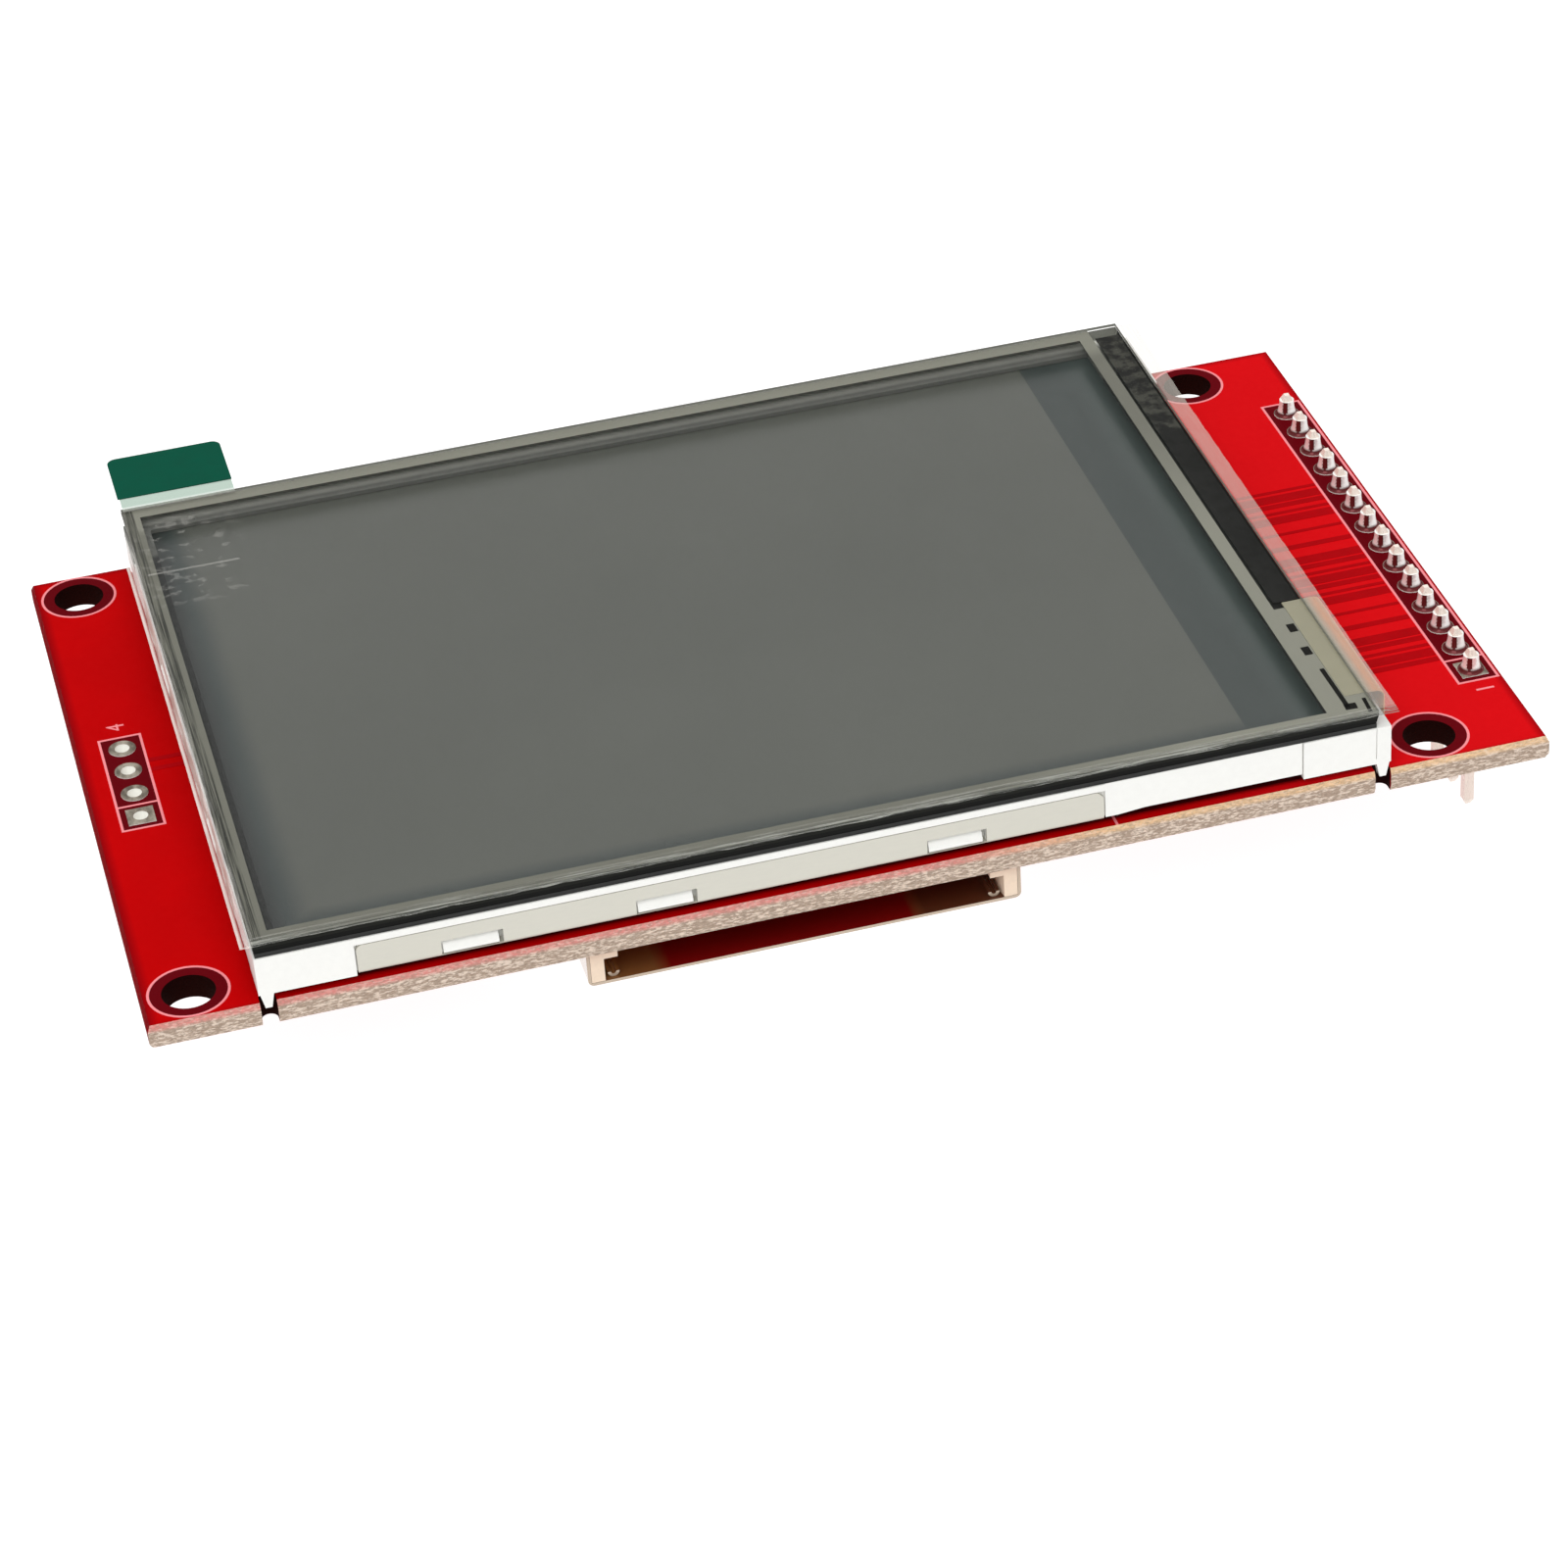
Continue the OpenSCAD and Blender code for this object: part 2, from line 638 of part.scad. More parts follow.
module light_guide() {
  ear = groove_step + 2 * fit;
  color("azure") on_display() difference() {
    pane(guide_insets, guide_z, guide_thick);
    // coupling grooves that face the light diodes
    for (y = [ear : groove_step : display_width - 2 * guide_insets[1] - ear])
      translate([display_length - lamp_end, guide_insets[1] + y, guide_z - cut])
        cylinder(d = groove_dia, h = guide_thick + 2 * cut, $fn = 4);
  }
}

module diffuser_sheet() { color("ivory") on_display() pane(guide_insets, diffuser_z, sheet_thick); }

module lower_prism_sheet() {
  color("whitesmoke") on_display() pane(guide_insets, lower_prism_z, sheet_thick);
}

module upper_prism_sheet() {
  color("snow") on_display() pane(guide_insets, upper_prism_z, sheet_thick);
}

module light_strip() {
  color("darkorange") on_display()
    block([diode_x, guide_insets[1], tray_sheet],
          [diode_x + diode_size[0] + strip_rest, display_width - guide_insets[1],
           tray_sheet + flex_thick]);
}

module light_diodes() {
  low = tray_sheet + flex_thick;
  half = diode_size[1] / 2;
  color("lemonchiffon") on_display() for (i = [0 : diode_count - 1])
    translate([diode_x, guide_insets[1] + (i + 0.5) * diode_step, low]) difference() {
      block([0, -half, 0], [diode_size[0], half, diode_size[2]]);
      block([-cut, 4 * diode_rim - half, diode_rim],
            [2 * diode_rim, half - 4 * diode_rim, diode_size[2] - diode_rim]);
    }
}

module rim_tape() {
  lap = rim_lap;
  color("black") on_display() difference() {
    pane([glass_inset, glass_inset, glass_inset, glass_inset], ledge_z, rim_thick);
    pane([well_inset + lap, well_inset + lap, lamp_end + lap, well_inset + lap], ledge_z - cut,
         rim_thick + 2 * cut);
  }
}

module rear_polariser() {
  color("dimgray") on_display()
    pane([film_inset, film_inset, film_inset + chip_ledge, film_inset],
         rear_polariser_z, polariser_thick);
}

module rear_glass() {
  color("lightcyan") on_display() pane([glass_inset, glass_inset, glass_inset, glass_inset],
                                       rear_glass_z, glass_thick);
}

module front_glass() {
  color("lightcyan") on_display()
    pane([glass_inset, glass_inset, glass_inset + chip_ledge, glass_inset], front_glass_z, glass_thick);
}

module front_polariser() {
  color("darkslategray") on_display()
    pane([film_inset, film_inset, glass_inset + chip_ledge + fit, film_inset],
         front_polariser_z, polariser_thick);
}

module driver_chip() {
  color("#26282b") on_display() translate([display_length - glass_inset - chip_ledge + chip_gap,
                                           (display_width - chip_size[1]) / 2, front_glass_z])
    cube(chip_size);
}

// Side view of a flexible circuit that turns down past the end of the display and back under it
module flex_section(start, top, out, bend, thick) {
  low = flex_z;
  translate([start, top - thick]) square([out - bend - start, thick]);
  translate([out - thick, low + bend]) square([thick, top - low - 2 * bend]);
  translate([display_length - flex_hang, low]) square([out - bend - display_length + flex_hang, thick]);
  for (z = [[low + bend, -1], [top - bend, 1]]) translate([out - bend, z[0]]) intersection() {
    difference() {
      circle(r = bend);
      circle(r = bend - thick);
    }
    translate([0, z[1] < 0 ? -bend : 0]) square(bend);
  }
}

module display_flex() {
  color("#c77b30") on_display() along_y(display_flex_ys[0], display_flex_ys[1])
    flex_section(display_length - glass_inset - bond_length, front_glass_z + flex_thick,
                 display_length - fit, flex_bend, flex_thick);
}

module touch_flex() {
  color("#d98a3c") on_display() along_y(touch_flex_ys[0], touch_flex_ys[1])
    flex_section(touch_flex_start - fit, spacer_z + spacer_thick, display_length + touch_flex_out,
                 touch_flex_bend, spacer_thick);
}

// Pane of the touch panel, inset from its own edges
module touch_pane(insets, z, thick) {
  block([insets[0], insets[1], z], [touch_length - insets[2], display_width - insets[3], z + thick]);
}

module touch_tape() {
  width = touch_tape_width;
  color("#202020") on_display() difference() {
    touch_pane([fit, fit, fit, fit], frame_top, touch_tape_thick);
    touch_pane([width, width, touch_length - edge_bar_x - 4 * fit, width], frame_top - cut,
               touch_tape_thick + 2 * cut);
  }
}

module touch_glass() {
  color("#9fb0ae") on_display() touch_pane([0, 0, 0, 0], touch_glass_z, touch_glass_thick);
}

module touch_spacer() {
  color("#8f9080") on_display() difference() {
    touch_pane([0, 0, 0, 0], spacer_z, spacer_thick);
    touch_pane([border_width, border_width, touch_length - edge_bar_x, border_width], spacer_z - cut,
               spacer_thick + 2 * cut);
    // bed of the dark strip, and the gap where the flexible circuit comes in
    block([edge_bar_end, strip_front - fit, spacer_z - cut],
          [touch_length + cut, display_width + cut, spacer_z + cut]);
    block([touch_flex_start - fit - press, touch_flex_ys[0] - press, spacer_z - cut],
          [touch_length + cut, strip_front, spacer_z + cut]);
  }
}

module touch_edge_strip() {
  x0 = edge_bar_end + strip_gap;
  y0 = touch_flex_ys[1] + fit;
  color("#2a2c2a") on_display()
    block([x0, y0, spacer_z], [touch_length - strip_gap, display_width - strip_back, spacer_z + spacer_thick]);
}

module touch_film() {
  color("#8c9490") on_display() touch_pane([0, 0, 0, 0], touch_film_z, touch_film_thick);
}

module cover_film() {
  tongue = tab_length + tab_start;
  color("#c8d0cc", 0.4) on_display() {
    block([-cover_left, -cover_front, cover_z], [touch_length + cover_over, display_width, tab_z]);
    block([0, display_width - cut, cover_z], [tab_width, display_width + tongue - tab_end, tab_z]);
  }
}

module pull_tab() {
  corner = tab_corner;
  color("#06553f") on_display() translate([0, display_width + tab_start, tab_z]) linear_extrude(cover_thick)
    union() {
      square([tab_width, tab_length - corner]);
      translate([corner, 0]) square([tab_width - 2 * corner, tab_length]);
      for (x = [corner, tab_width - corner]) translate([x, tab_length - corner]) circle(r = corner);
    }
}

// Where the contacts of the card socket stand, across the socket
contact_xs = [for (i = [0 : contact_count - 1])
              socket_width / 2 + (i - (contact_count - 1) / 2) * contact_pitch];

module socket_base() {
  inner = shell_sheet + press;
  top = socket_height - shell_sheet - press;
  channel = contact_width + 2 * fit;
  slot_front = contact_tip - 5 * fit;
  color("#efe0c4") under_socket() difference() {
    union() {
      for (side = [0, 1]) translate([side * socket_width, 0, 0]) mirror([side, 0, 0]) {
        block([inner, 0, 0], [inner + rail_width, socket_depth, top]);
        block([inner, 0, 0], lip_size);
      }
      block([inner, socket_depth - rail_width, 0], [socket_width - inner, socket_depth, top]);
      block([0, socket_depth + press, 0], [socket_width, socket_back, socket_height - rear_drop]);
      block([inner, socket_depth - rail_width, 0],
            [socket_width - inner, socket_depth + rail_width, socket_height - 2 * rear_drop]);
      block([inner, floor_front, 0], [socket_width - inner, socket_depth, floor_thick]);
      for (x = [post_inset, socket_width - post_inset])
        translate([x, socket_depth, -post_reach]) cylinder(d = post_dia, h = post_reach + fit);
    }
    for (x = contact_xs) {
      block([x - channel / 2, slot_front, -cut], [x + channel / 2, socket_depth - 1.5 * rail_width, floor_thick + cut]);
      block([x - channel / 2, slot_front, -cut], [x + channel / 2, socket_back + cut, contact_thick + fit]);
    }
    // sloped leading edges of the rails under their lips, which guide the card
    for (side = [0, 1]) translate([side * socket_width, 0, lip_size[2]]) mirror([side, 0, 0])
      linear_extrude(socket_height)
        polygon([[inner + rail_width - rail_slope, -cut], [inner + rail_width + cut, -cut],
                 [inner + rail_width + cut, rail_width], [inner + rail_width, rail_width],
                 [inner + rail_width - rail_slope, 0]]);
  }
}

// Cross-section of the folded shell, with round outer bends
module shell_section() {
  bend = 2 * shell_sheet;
  difference() {
    union() {
      square([socket_width, socket_height - bend]);
      translate([bend, 0]) square([socket_width - 2 * bend, socket_height]);
      for (x = [bend, socket_width - bend]) translate([x, socket_height - bend]) circle(r = bend);
    }
    translate([shell_sheet, -cut]) square([socket_width - 2 * shell_sheet, socket_height - shell_sheet + cut]);
  }
}

module socket_shell() {
  half = finger_size[0] / 2;
  color("lightsteelblue") under_socket() {
    difference() {
      along_y(0, socket_depth) shell_section();
      // spring fingers that press on the card
      for (x = finger_shares * socket_width)
        translate([x, finger_front, socket_height - shell_sheet - fit])
          linear_extrude(shell_sheet + cut) difference() {
            translate([-half - finger_slit, 0]) square([2 * (half + finger_slit), finger_size[1]]);
            translate([-half, -cut]) square([2 * half, finger_size[1] - finger_slit + cut]);
          }
      // side windows
      for (y = window_shares * socket_depth)
        block([-cut, y, window_z], [socket_width + cut, y + window_size[0], window_z + window_size[1]]);
    }
    for (side = [0, 1], y = [tab_inset, socket_depth - 2 * solder_tab[1]])
      translate([side * socket_width, y, 0]) mirror([side, 0, 0])
        block([-solder_tab[0], 0, 0], [shell_sheet, solder_tab[1], shell_sheet]);
    // curled guides inside both corners of the mouth
    for (side = [0, 1]) translate([side * socket_width, 0, 0]) mirror([side, 0, 0])
      translate([shell_sheet + press + rail_width + curl_radius + fit, curl_front,
                 socket_height - shell_sheet - curl_radius])
        rotate([-90, 0, 0]) difference() {
          cylinder(r = curl_radius + curl_bite, h = curl_length);
          translate([0, 0, -cut])
            cylinder(r = curl_radius + curl_bite - shell_sheet, h = curl_length + 2 * cut);
          translate([-cut, 0, -cut]) cube([2 * cut, cut, curl_length + 2 * cut]);
        }
  }
}

// Side view of one contact: tail on the board, run through the base, finger that rises to the card
module contact_section() {
  low = contact_rise;
  high = contact_rise + contact_thick;
  dip = 2 * contact_thick;                     // how far the tip turns back to the board
  crest = contact_tip + contact_turn;
  foot = contact_tip + contact_ramp;
  polygon([[socket_back + tail_length, 0], [socket_back + tail_length, contact_thick],
           [foot, contact_thick], [crest + 4 * contact_thick, high], [crest, high],
           [contact_tip, high - dip], [contact_tip + contact_thick, high - dip - contact_thick * 2 / 3],
           [crest + fit, low], [crest + 3 * contact_thick, low], [foot - fit, 0]]);
}

module socket_contacts() {
  color("gold") under_socket() for (x = contact_xs)
    along_x(x - contact_width / 2, x + contact_width / 2) contact_section();
}

// Moulded chip body with drafted sides, standing off the board
module chip_body(size) {
  intersection() {
    along_y(-size[1] / 2, size[1] / 2) drafted(size[0], size[2]);
    along_x(-size[0] / 2, size[0] / 2) drafted(size[1], size[2]);
  }
}

// Side view of a moulded body: widest half way up, where its leads leave it
module drafted(span, high) {
  half = span / 2;
  edge = half - chip_draft;
  waist = (chip_lift + high) / 2;
  polygon([[-edge, chip_lift], [edge, chip_lift], [half, waist], [edge, high], [-edge, high],
           [-half, waist]]);
}

// Gull-wing lead, from the chip body at x = 0 out to its foot
module gull_wing(lead, height) {
  t = lead_thick;
  out = lead[1];
  along_y(-lead[0] / 2, lead[0] / 2)
    polygon([[0, height], [out * 0.35, height], [out * 0.6, t], [out, t], [out, 0], [out * 0.5, 0],
             [out * 0.28, height - t], [0, height - t]]);
}

// The leads of both sides of a chip, at these places along the sides
module leads_both(size, left_ys, right_ys, lead) {
  height = (chip_lift + size[2] + lead_thick) / 2;
  for (y = right_ys) translate([size[0] / 2, y, 0]) gull_wing(lead, height);
  for (y = left_ys) translate([-size[0] / 2, y, 0]) mirror([1, 0, 0]) gull_wing(lead, height);
}

module at(place) { under_board() translate([place[0], place[1], 0]) children(); }

module touch_controller() {
  color("#202124") at(controller_at) difference() {
    chip_body(controller_size);
    translate([dot_inset - controller_size[0] / 2, dot_inset - controller_size[1] / 2,
               controller_size[2] - dot_depth])
      cylinder(d = dot_dia, h = cut);
  }
}

module controller_leads() {
  ys = [for (i = [-3.5 : 3.5]) i * controller_lead_pitch];
  color("silver") at(controller_at) leads_both(controller_size, ys, ys, controller_lead);
}

module regulator() { color("#232323") at(regulator_at) chip_body(small_size); }

module regulator_leads() {
  color("silver") at(regulator_at) leads_both(small_size, [0], small_ys, small_lead);
}

module backlight_switch() { color("#232323") at(switch_at) chip_body(small_size); }

module switch_leads() {
  color("silver") at(switch_at) leads_both(small_size, small_ys, [0], small_lead);
}

// Rows of chip parts, side by side across the board
module chip_rows(rows) {
  for (row = rows, i = [0 : row_count - 1]) at([row[0], row[1] + i * row_step]) children();
}

module resistors() {
  color("#1d1d1f") chip_rows(resistor_rows)
    block([cap_length - chip_length / 2, -chip_width / 2, cap_over],
          [chip_length / 2 - cap_length, chip_width / 2, resistor_height]);
}

module capacitors() {
  color("#b08a5a") chip_rows(capacitor_rows)
    block([cap_length - chip_length / 2, -chip_width / 2, cap_over],
          [chip_length / 2 - cap_length, chip_width / 2, chip_width]);
}

module end_caps() {
  color("silver") {
    chip_rows(resistor_rows) for (side = [0, 1]) mirror([side, 0, 0])
      block([-chip_length / 2, -chip_width / 2, 0],
            [cap_length - chip_length / 2, chip_width / 2, resistor_height + cap_over]);
    chip_rows(capacitor_rows) for (side = [0, 1]) mirror([side, 0, 0])
      block([-chip_length / 2, -chip_width / 2, 0],
            [cap_length - chip_length / 2, chip_width / 2, chip_width + cap_over]);
  }
}

board();
board_print();
plated_holes();
header_strip();
header_pins();
solder_joints();
mounting_tape();
backlight_tray();
backlight_frame();
reflector_sheet();
light_guide();
diffuser_sheet();
lower_prism_sheet();
upper_prism_sheet();
light_strip();
light_diodes();
rim_tape();
rear_polariser();
rear_glass();
front_glass();
front_polariser();
driver_chip();
display_flex();
touch_tape();
touch_glass();
touch_spacer();
touch_edge_strip();
touch_flex();
touch_film();
cover_film();
pull_tab();
socket_base();
socket_shell();
socket_contacts();
touch_controller();
controller_leads();
regulator();
regulator_leads();
backlight_switch();
switch_leads();
resistors();
capacitors();
end_caps();
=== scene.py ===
"""A colour display module with a touch panel: its finishes, prints, tracks, film, light and camera."""

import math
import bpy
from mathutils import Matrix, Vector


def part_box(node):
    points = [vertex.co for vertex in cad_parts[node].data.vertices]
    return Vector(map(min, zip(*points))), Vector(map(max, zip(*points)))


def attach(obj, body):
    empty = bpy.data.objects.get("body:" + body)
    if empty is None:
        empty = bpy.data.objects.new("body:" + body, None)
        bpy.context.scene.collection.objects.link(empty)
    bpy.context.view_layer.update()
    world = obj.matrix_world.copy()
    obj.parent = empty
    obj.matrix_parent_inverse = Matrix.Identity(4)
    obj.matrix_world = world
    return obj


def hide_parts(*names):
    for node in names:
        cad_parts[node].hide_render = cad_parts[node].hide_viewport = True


bl_info = {
    "name": "Colour Display Module",
    "version": (1, 0, 0),
    "blender": (4, 5, 0),
    "location": "View3D > Sidebar > Display Module",
    "description": "Finishes, prints, copper tracks and film of a colour display module",
    "category": "Object",
}

import bmesh
import bpy
from mathutils import Matrix, Vector, noise

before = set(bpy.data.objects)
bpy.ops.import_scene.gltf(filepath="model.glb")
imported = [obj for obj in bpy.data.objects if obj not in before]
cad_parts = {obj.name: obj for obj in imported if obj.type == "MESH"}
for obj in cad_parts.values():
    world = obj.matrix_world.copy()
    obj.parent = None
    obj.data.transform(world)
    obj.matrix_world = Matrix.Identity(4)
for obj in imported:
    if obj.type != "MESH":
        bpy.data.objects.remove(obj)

MM = 0.001  # all the sizes below are in millimetres, and the scene is in metres
FAR = 100.0  # beyond every piece of the module
EVERYWHERE = (-FAR, FAR)


def colour(red, green, blue):
    """A colour given as it looks on a screen, 0 to 255, in the linear values that shaders take."""
    def linear(value):
        value /= 255
        return value / 12.92 if value <= 0.04045 else ((value + 0.055) / 1.055) ** 2.4
    return (linear(red), linear(green), linear(blue))


def extent(node):
    """Lowest and highest corner of one piece of the frame, in millimetres."""
    low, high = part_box(node)
    return low / MM, high / MM


BOARD_LOW, BOARD_HIGH = extent("board")
PINS_LOW, PINS_HIGH = extent("header_pins")
FILM_LOW, FILM_HIGH = extent("cover_film")
PANEL_LOW, PANEL_HIGH = extent("touch_film")
GLASS_LOW, GLASS_HIGH = extent("touch_glass")
SPACER_TOP = extent("touch_spacer")[1].z
FRAME_LOW, FRAME_HIGH = extent("backlight_frame")
SOCKET_LOW, SOCKET_HIGH = extent("socket_base")
SHELL_LOW, SHELL_HIGH = extent("socket_shell")
CONTROLLER_LOW, CONTROLLER_HIGH = extent("touch_controller")

PIN_COUNT = 14
PIN_X = (PINS_LOW.x + PINS_HIGH.x) / 2
PIN_PITCH = (PINS_HIGH.y - PINS_LOW.y - (PINS_HIGH.x - PINS_LOW.x)) / (PIN_COUNT - 1)
PIN_YS = [(i - (PIN_COUNT - 1) / 2) * PIN_PITCH for i in range(PIN_COUNT)]
SERVICE_X = BOARD_LOW.x + 2.92  # the row of four holes at the left end
SERVICE_YS = [(i - 1.5) * PIN_PITCH for i in range(4)]
HOLE_X, HOLE_Y = 38.2, 22.35  # half the distances between the mounting holes
RING_RADIUS = 2.3  # of the bare laminate round a mounting hole
PAD_REACH = 1.3  # half the width of the bare laminate round a row of pads
ABOVE_INK = (BOARD_HIGH.z, BOARD_HIGH.z + 0.02)  # heights between which printed ink lies
BELOW_INK = (-0.02, 0.0)


# ---------------------------------------------------------------- sizes and colours

def tone(name, description, default):
    return bpy.props.FloatVectorProperty(name=name, description=description, subtype="COLOR",
                                         size=3, min=0, max=1, default=default)


def size(name, description, default_mm, low_mm=0.0, high_mm=100.0):
    return bpy.props.FloatProperty(name=name, description=description, unit="LENGTH",
                                   default=default_mm * MM, min=low_mm * MM, max=high_mm * MM,
                                   precision=5)


def share(name, description, default):
    return bpy.props.FloatProperty(name=name, description=description, subtype="FACTOR",
                                   default=default, min=0, max=1)


def level(name, description, default, low, high, unit="NONE"):
    return bpy.props.FloatProperty(name=name, description=description, unit=unit, default=default,
                                   min=low, max=high)


def angle(name, description, degrees):
    return bpy.props.FloatProperty(name=name, description=description, unit="ROTATION",
                                   default=math.radians(degrees))


class BoardLook(bpy.types.PropertyGroup):
    mask: tone("Solder Mask", "Colour of the solder mask", colour(190, 0, 2))
    mask_lit: tone("Lit Mask", "Solder mask at the end that catches more light", colour(214, 14, 22))
    # Deep Mask: darker red in the weave speckle and along the outline of the board, and painted shade on the
    # board's left end faces.
    mask_deep: tone("Deep Mask", "Solder mask where copper or its edge darkens it", colour(138, 0, 8))
    # Bare Ring: bare laminate round the mounting holes; over the rows of pads the same dark maroon is
    # painted shade.
    mask_bare: tone("Bare Ring", "Laminate round the holes and pads", colour(92, 3, 12))
    edge: tone("Edge", "Snapped edge of the laminate", colour(188, 166, 148))
    edge_light: tone("Edge Fibres", "Glass fibres that show in the edge", colour(234, 216, 200))
    edge_worn: tone("Edge of the Mask", "Chipped mask along the top of the edge", colour(224, 132, 128))
    ink: tone("Ink", "Printed lines and numbers", colour(238, 134, 140))
    track_rise: size("Track Rise", "How far a copper track lifts the solder mask", 0.015, 0, 0.05)
    gloss: share("Gloss", "How much light the solder mask reflects", 0.012)


class ScreenLook(bpy.types.PropertyGroup):
    lit: tone("Active Area", "Area of the screen that shows the picture", colour(73, 75, 69))
    slate: tone("Inactive Area", "Screen outside the picture", colour(41, 49, 47))
    border: tone("Border", "Printed border of the touch panel", colour(104, 104, 94))
    strip: tone("Dark Strip", "Dark strip at the end of the touch panel", colour(8, 9, 7))
    active_length: size("Active Length", "Length of the picture", 57.6, 20, 80)
    active_width: size("Active Width", "Width of the picture", 43.2, 20, 60)
    active_centre: size("Active Centre", "From the middle of the holes to the middle of the picture",
                        -2.25, -10, 10)


class FilmLook(bpy.types.PropertyGroup):
    haze: share("Haze", "How milky the protective film is", 0.008)
    # Milky Edges: the free edges are milky, and also carry a painted glint.
    edge: share("Milky Edges", "How milky its free edges are", 0.42)
    wave: size("Waves", "Height of the waves in the protective film", 0.03, 0, 0.2)
    droop: size("Droop", "How far the free edges of the film hang down", 0.16, 0, 0.5)
    tab: tone("Pull Tab", "Colour of the pull tab", colour(0, 76, 57))


class ShellLook(bpy.types.PropertyGroup):
    plastic: tone("White Plastic", "Frame of the backlight", colour(240, 240, 236))
    steel: tone("Tray Steel", "Tray of the backlight", colour(208, 206, 195))
    shell: tone("Shell Steel", "Shell of the card socket", colour(232, 229, 222))
    socket: tone("Socket Plastic", "Base of the card socket", colour(238, 216, 192))
    tin: tone("Tin", "Tin plate, solder and leads", colour(248, 248, 245))
    amber: tone("Amber Film", "Flexible circuits", colour(214, 132, 62))


class StudioLook(bpy.types.PropertyGroup):
    floor: tone("Floor", "Colour of the floor", colour(130, 130, 130))
    glow: level("Glow", "Light that the table gives from below", 0.95, 0, 5)
    sky: level("Sky", "Brightness of the light from all round", 0.85, 0, 5)
    key: level("Key Light", "Power of the large soft light", 2.6, 0, 50, "POWER")
    azimuth: angle("Azimuth", "Direction of the camera", -102.79)
    elevation: angle("Elevation", "Height of the camera", 34.95)
    roll: angle("Roll", "Tilt of the camera about its own axis", -4.09)
    distance: size("Distance", "From the camera to the point it looks at", 290.8, 100, 1000)
    lens: level("Lens", "Focal length", 108.93, 20, 300, "CAMERA")


# ---------------------------------------------------------------- shader node groups

def new_group(name, output, **inputs):
    """An empty node group with these inputs and one output, and the sockets at its two ends."""
    tree = bpy.data.node_groups.new(name, "ShaderNodeTree")
    for label, default in inputs.items():
        kind = "NodeSocketVector" if isinstance(default, tuple) else "NodeSocketFloat"
        socket = tree.interface.new_socket(name=label, in_out="INPUT", socket_type=kind)
        socket.default_value = default
    tree.interface.new_socket(name=output, in_out="OUTPUT", socket_type="NodeSocketFloat")
    return tree, tree.nodes.new("NodeGroupInput").outputs, tree.nodes.new("NodeGroupOutput").inputs[0]


def put(tree, kind, operation, *values):
    """Adds a node to a tree. A value that is a socket is joined, and any other but None is set."""
    node = tree.nodes.new("ShaderNode" + kind)
    if operation:
        node.operation = operation
    for index, value in enumerate(values):
        if isinstance(value, bpy.types.NodeSocket):
            tree.links.new(value, node.inputs[index])
        elif value is not None:
            node.inputs[index].default_value = value
    return node


def number(tree, operation, *values):
    return put(tree, "Math", operation, *values).outputs[0]


def vector(tree, operation, *values):
    return put(tree, "VectorMath", operation, *values).outputs[0]


def measure(tree, operation, *values):
    """The number that comes from vectors."""
    return put(tree, "VectorMath", operation, *values).outputs["Value"]


def position_mm(tree):
    """The place of the surface point in its piece, in millimetres."""
    place = tree.nodes.new("ShaderNodeTexCoord").outputs["Object"]
    return vector(tree, "SCALE", place, None, None, 1 / MM)


def face_direction(tree):
    """Which way the face looks, in the directions of its own piece."""
    geometry = tree.nodes.new("ShaderNodeNewGeometry")
    turned = tree.nodes.new("ShaderNodeVectorTransform")
    turned.vector_type = "NORMAL"
    turned.convert_from = "WORLD"
    turned.convert_to = "OBJECT"
    tree.links.new(geometry.outputs["True Normal"], turned.inputs[0])
    return turned.outputs[0]


def close_group(tree, end, value, steepness):
    """Ends a group with a soft step: 0 where the value is below zero and 1 above."""
    steep = put(tree, "Math", "MULTIPLY_ADD", value, steepness, 0.5)
    steep.use_clamp = True
    tree.links.new(steep.outputs[0], end)


def build_grain_group():
    """Fine speckle of one size, stretched along the axes as wanted."""
    tree, start, end = new_group("fine_grain", "Value", Size=0.2, Stretch=(1, 1, 1), Contrast=1.5)
    stretched = vector(tree, "DIVIDE", position_mm(tree), start["Stretch"])
    scale = number(tree, "DIVIDE", 1.0, start["Size"])
    speckle = put(tree, "TexNoise", None, vector(tree, "SCALE", stretched, None, None, scale))
    speckle.inputs["Scale"].default_value = 1
    speckle.inputs["Detail"].default_value = 4
    speckle.inputs["Roughness"].default_value = 0.6
    close_group(tree, end, number(tree, "SUBTRACT", speckle.outputs["Fac"], 0.5), start["Contrast"])


def build_box_group():
    """1 inside a box given by two corners in millimetres, 0 outside."""
    tree, start, end = new_group("box_mask", "Mask", Low=(0, 0, 0), High=(1, 1, 1), Steepness=40)
    place = position_mm(tree)
    inside = vector(tree, "MINIMUM", vector(tree, "SUBTRACT", place, start["Low"]),
                    vector(tree, "SUBTRACT", start["High"], place))
    x, y, z = put(tree, "SeparateXYZ", None, inside).outputs
    least = number(tree, "MINIMUM", number(tree, "MINIMUM", x, y), z)
    close_group(tree, end, least, start["Steepness"])


def build_ring_group():
    """1 within a radius of each of the four mounting holes, 0 elsewhere."""
    tree, start, end = new_group("hole_ring", "Mask", Radius=2.0)
    folded = vector(tree, "ABSOLUTE", position_mm(tree))
    offset = vector(tree, "SUBTRACT", folded, (HOLE_X, HOLE_Y, 0))
    away = measure(tree, "LENGTH", vector(tree, "MULTIPLY", offset, (1, 1, 0)))
    close_group(tree, end, number(tree, "SUBTRACT", start["Radius"], away), 60)


def build_side_group():
    """1 on upright faces, 0 on faces that look up or down."""
    tree, start, end = new_group("upright_faces", "Mask", Slope=0.6)
    upward = put(tree, "SeparateXYZ", None, face_direction(tree)).outputs[2]
    slope = number(tree, "SUBTRACT", start["Slope"], number(tree, "ABSOLUTE", upward))
    close_group(tree, end, slope, 20)


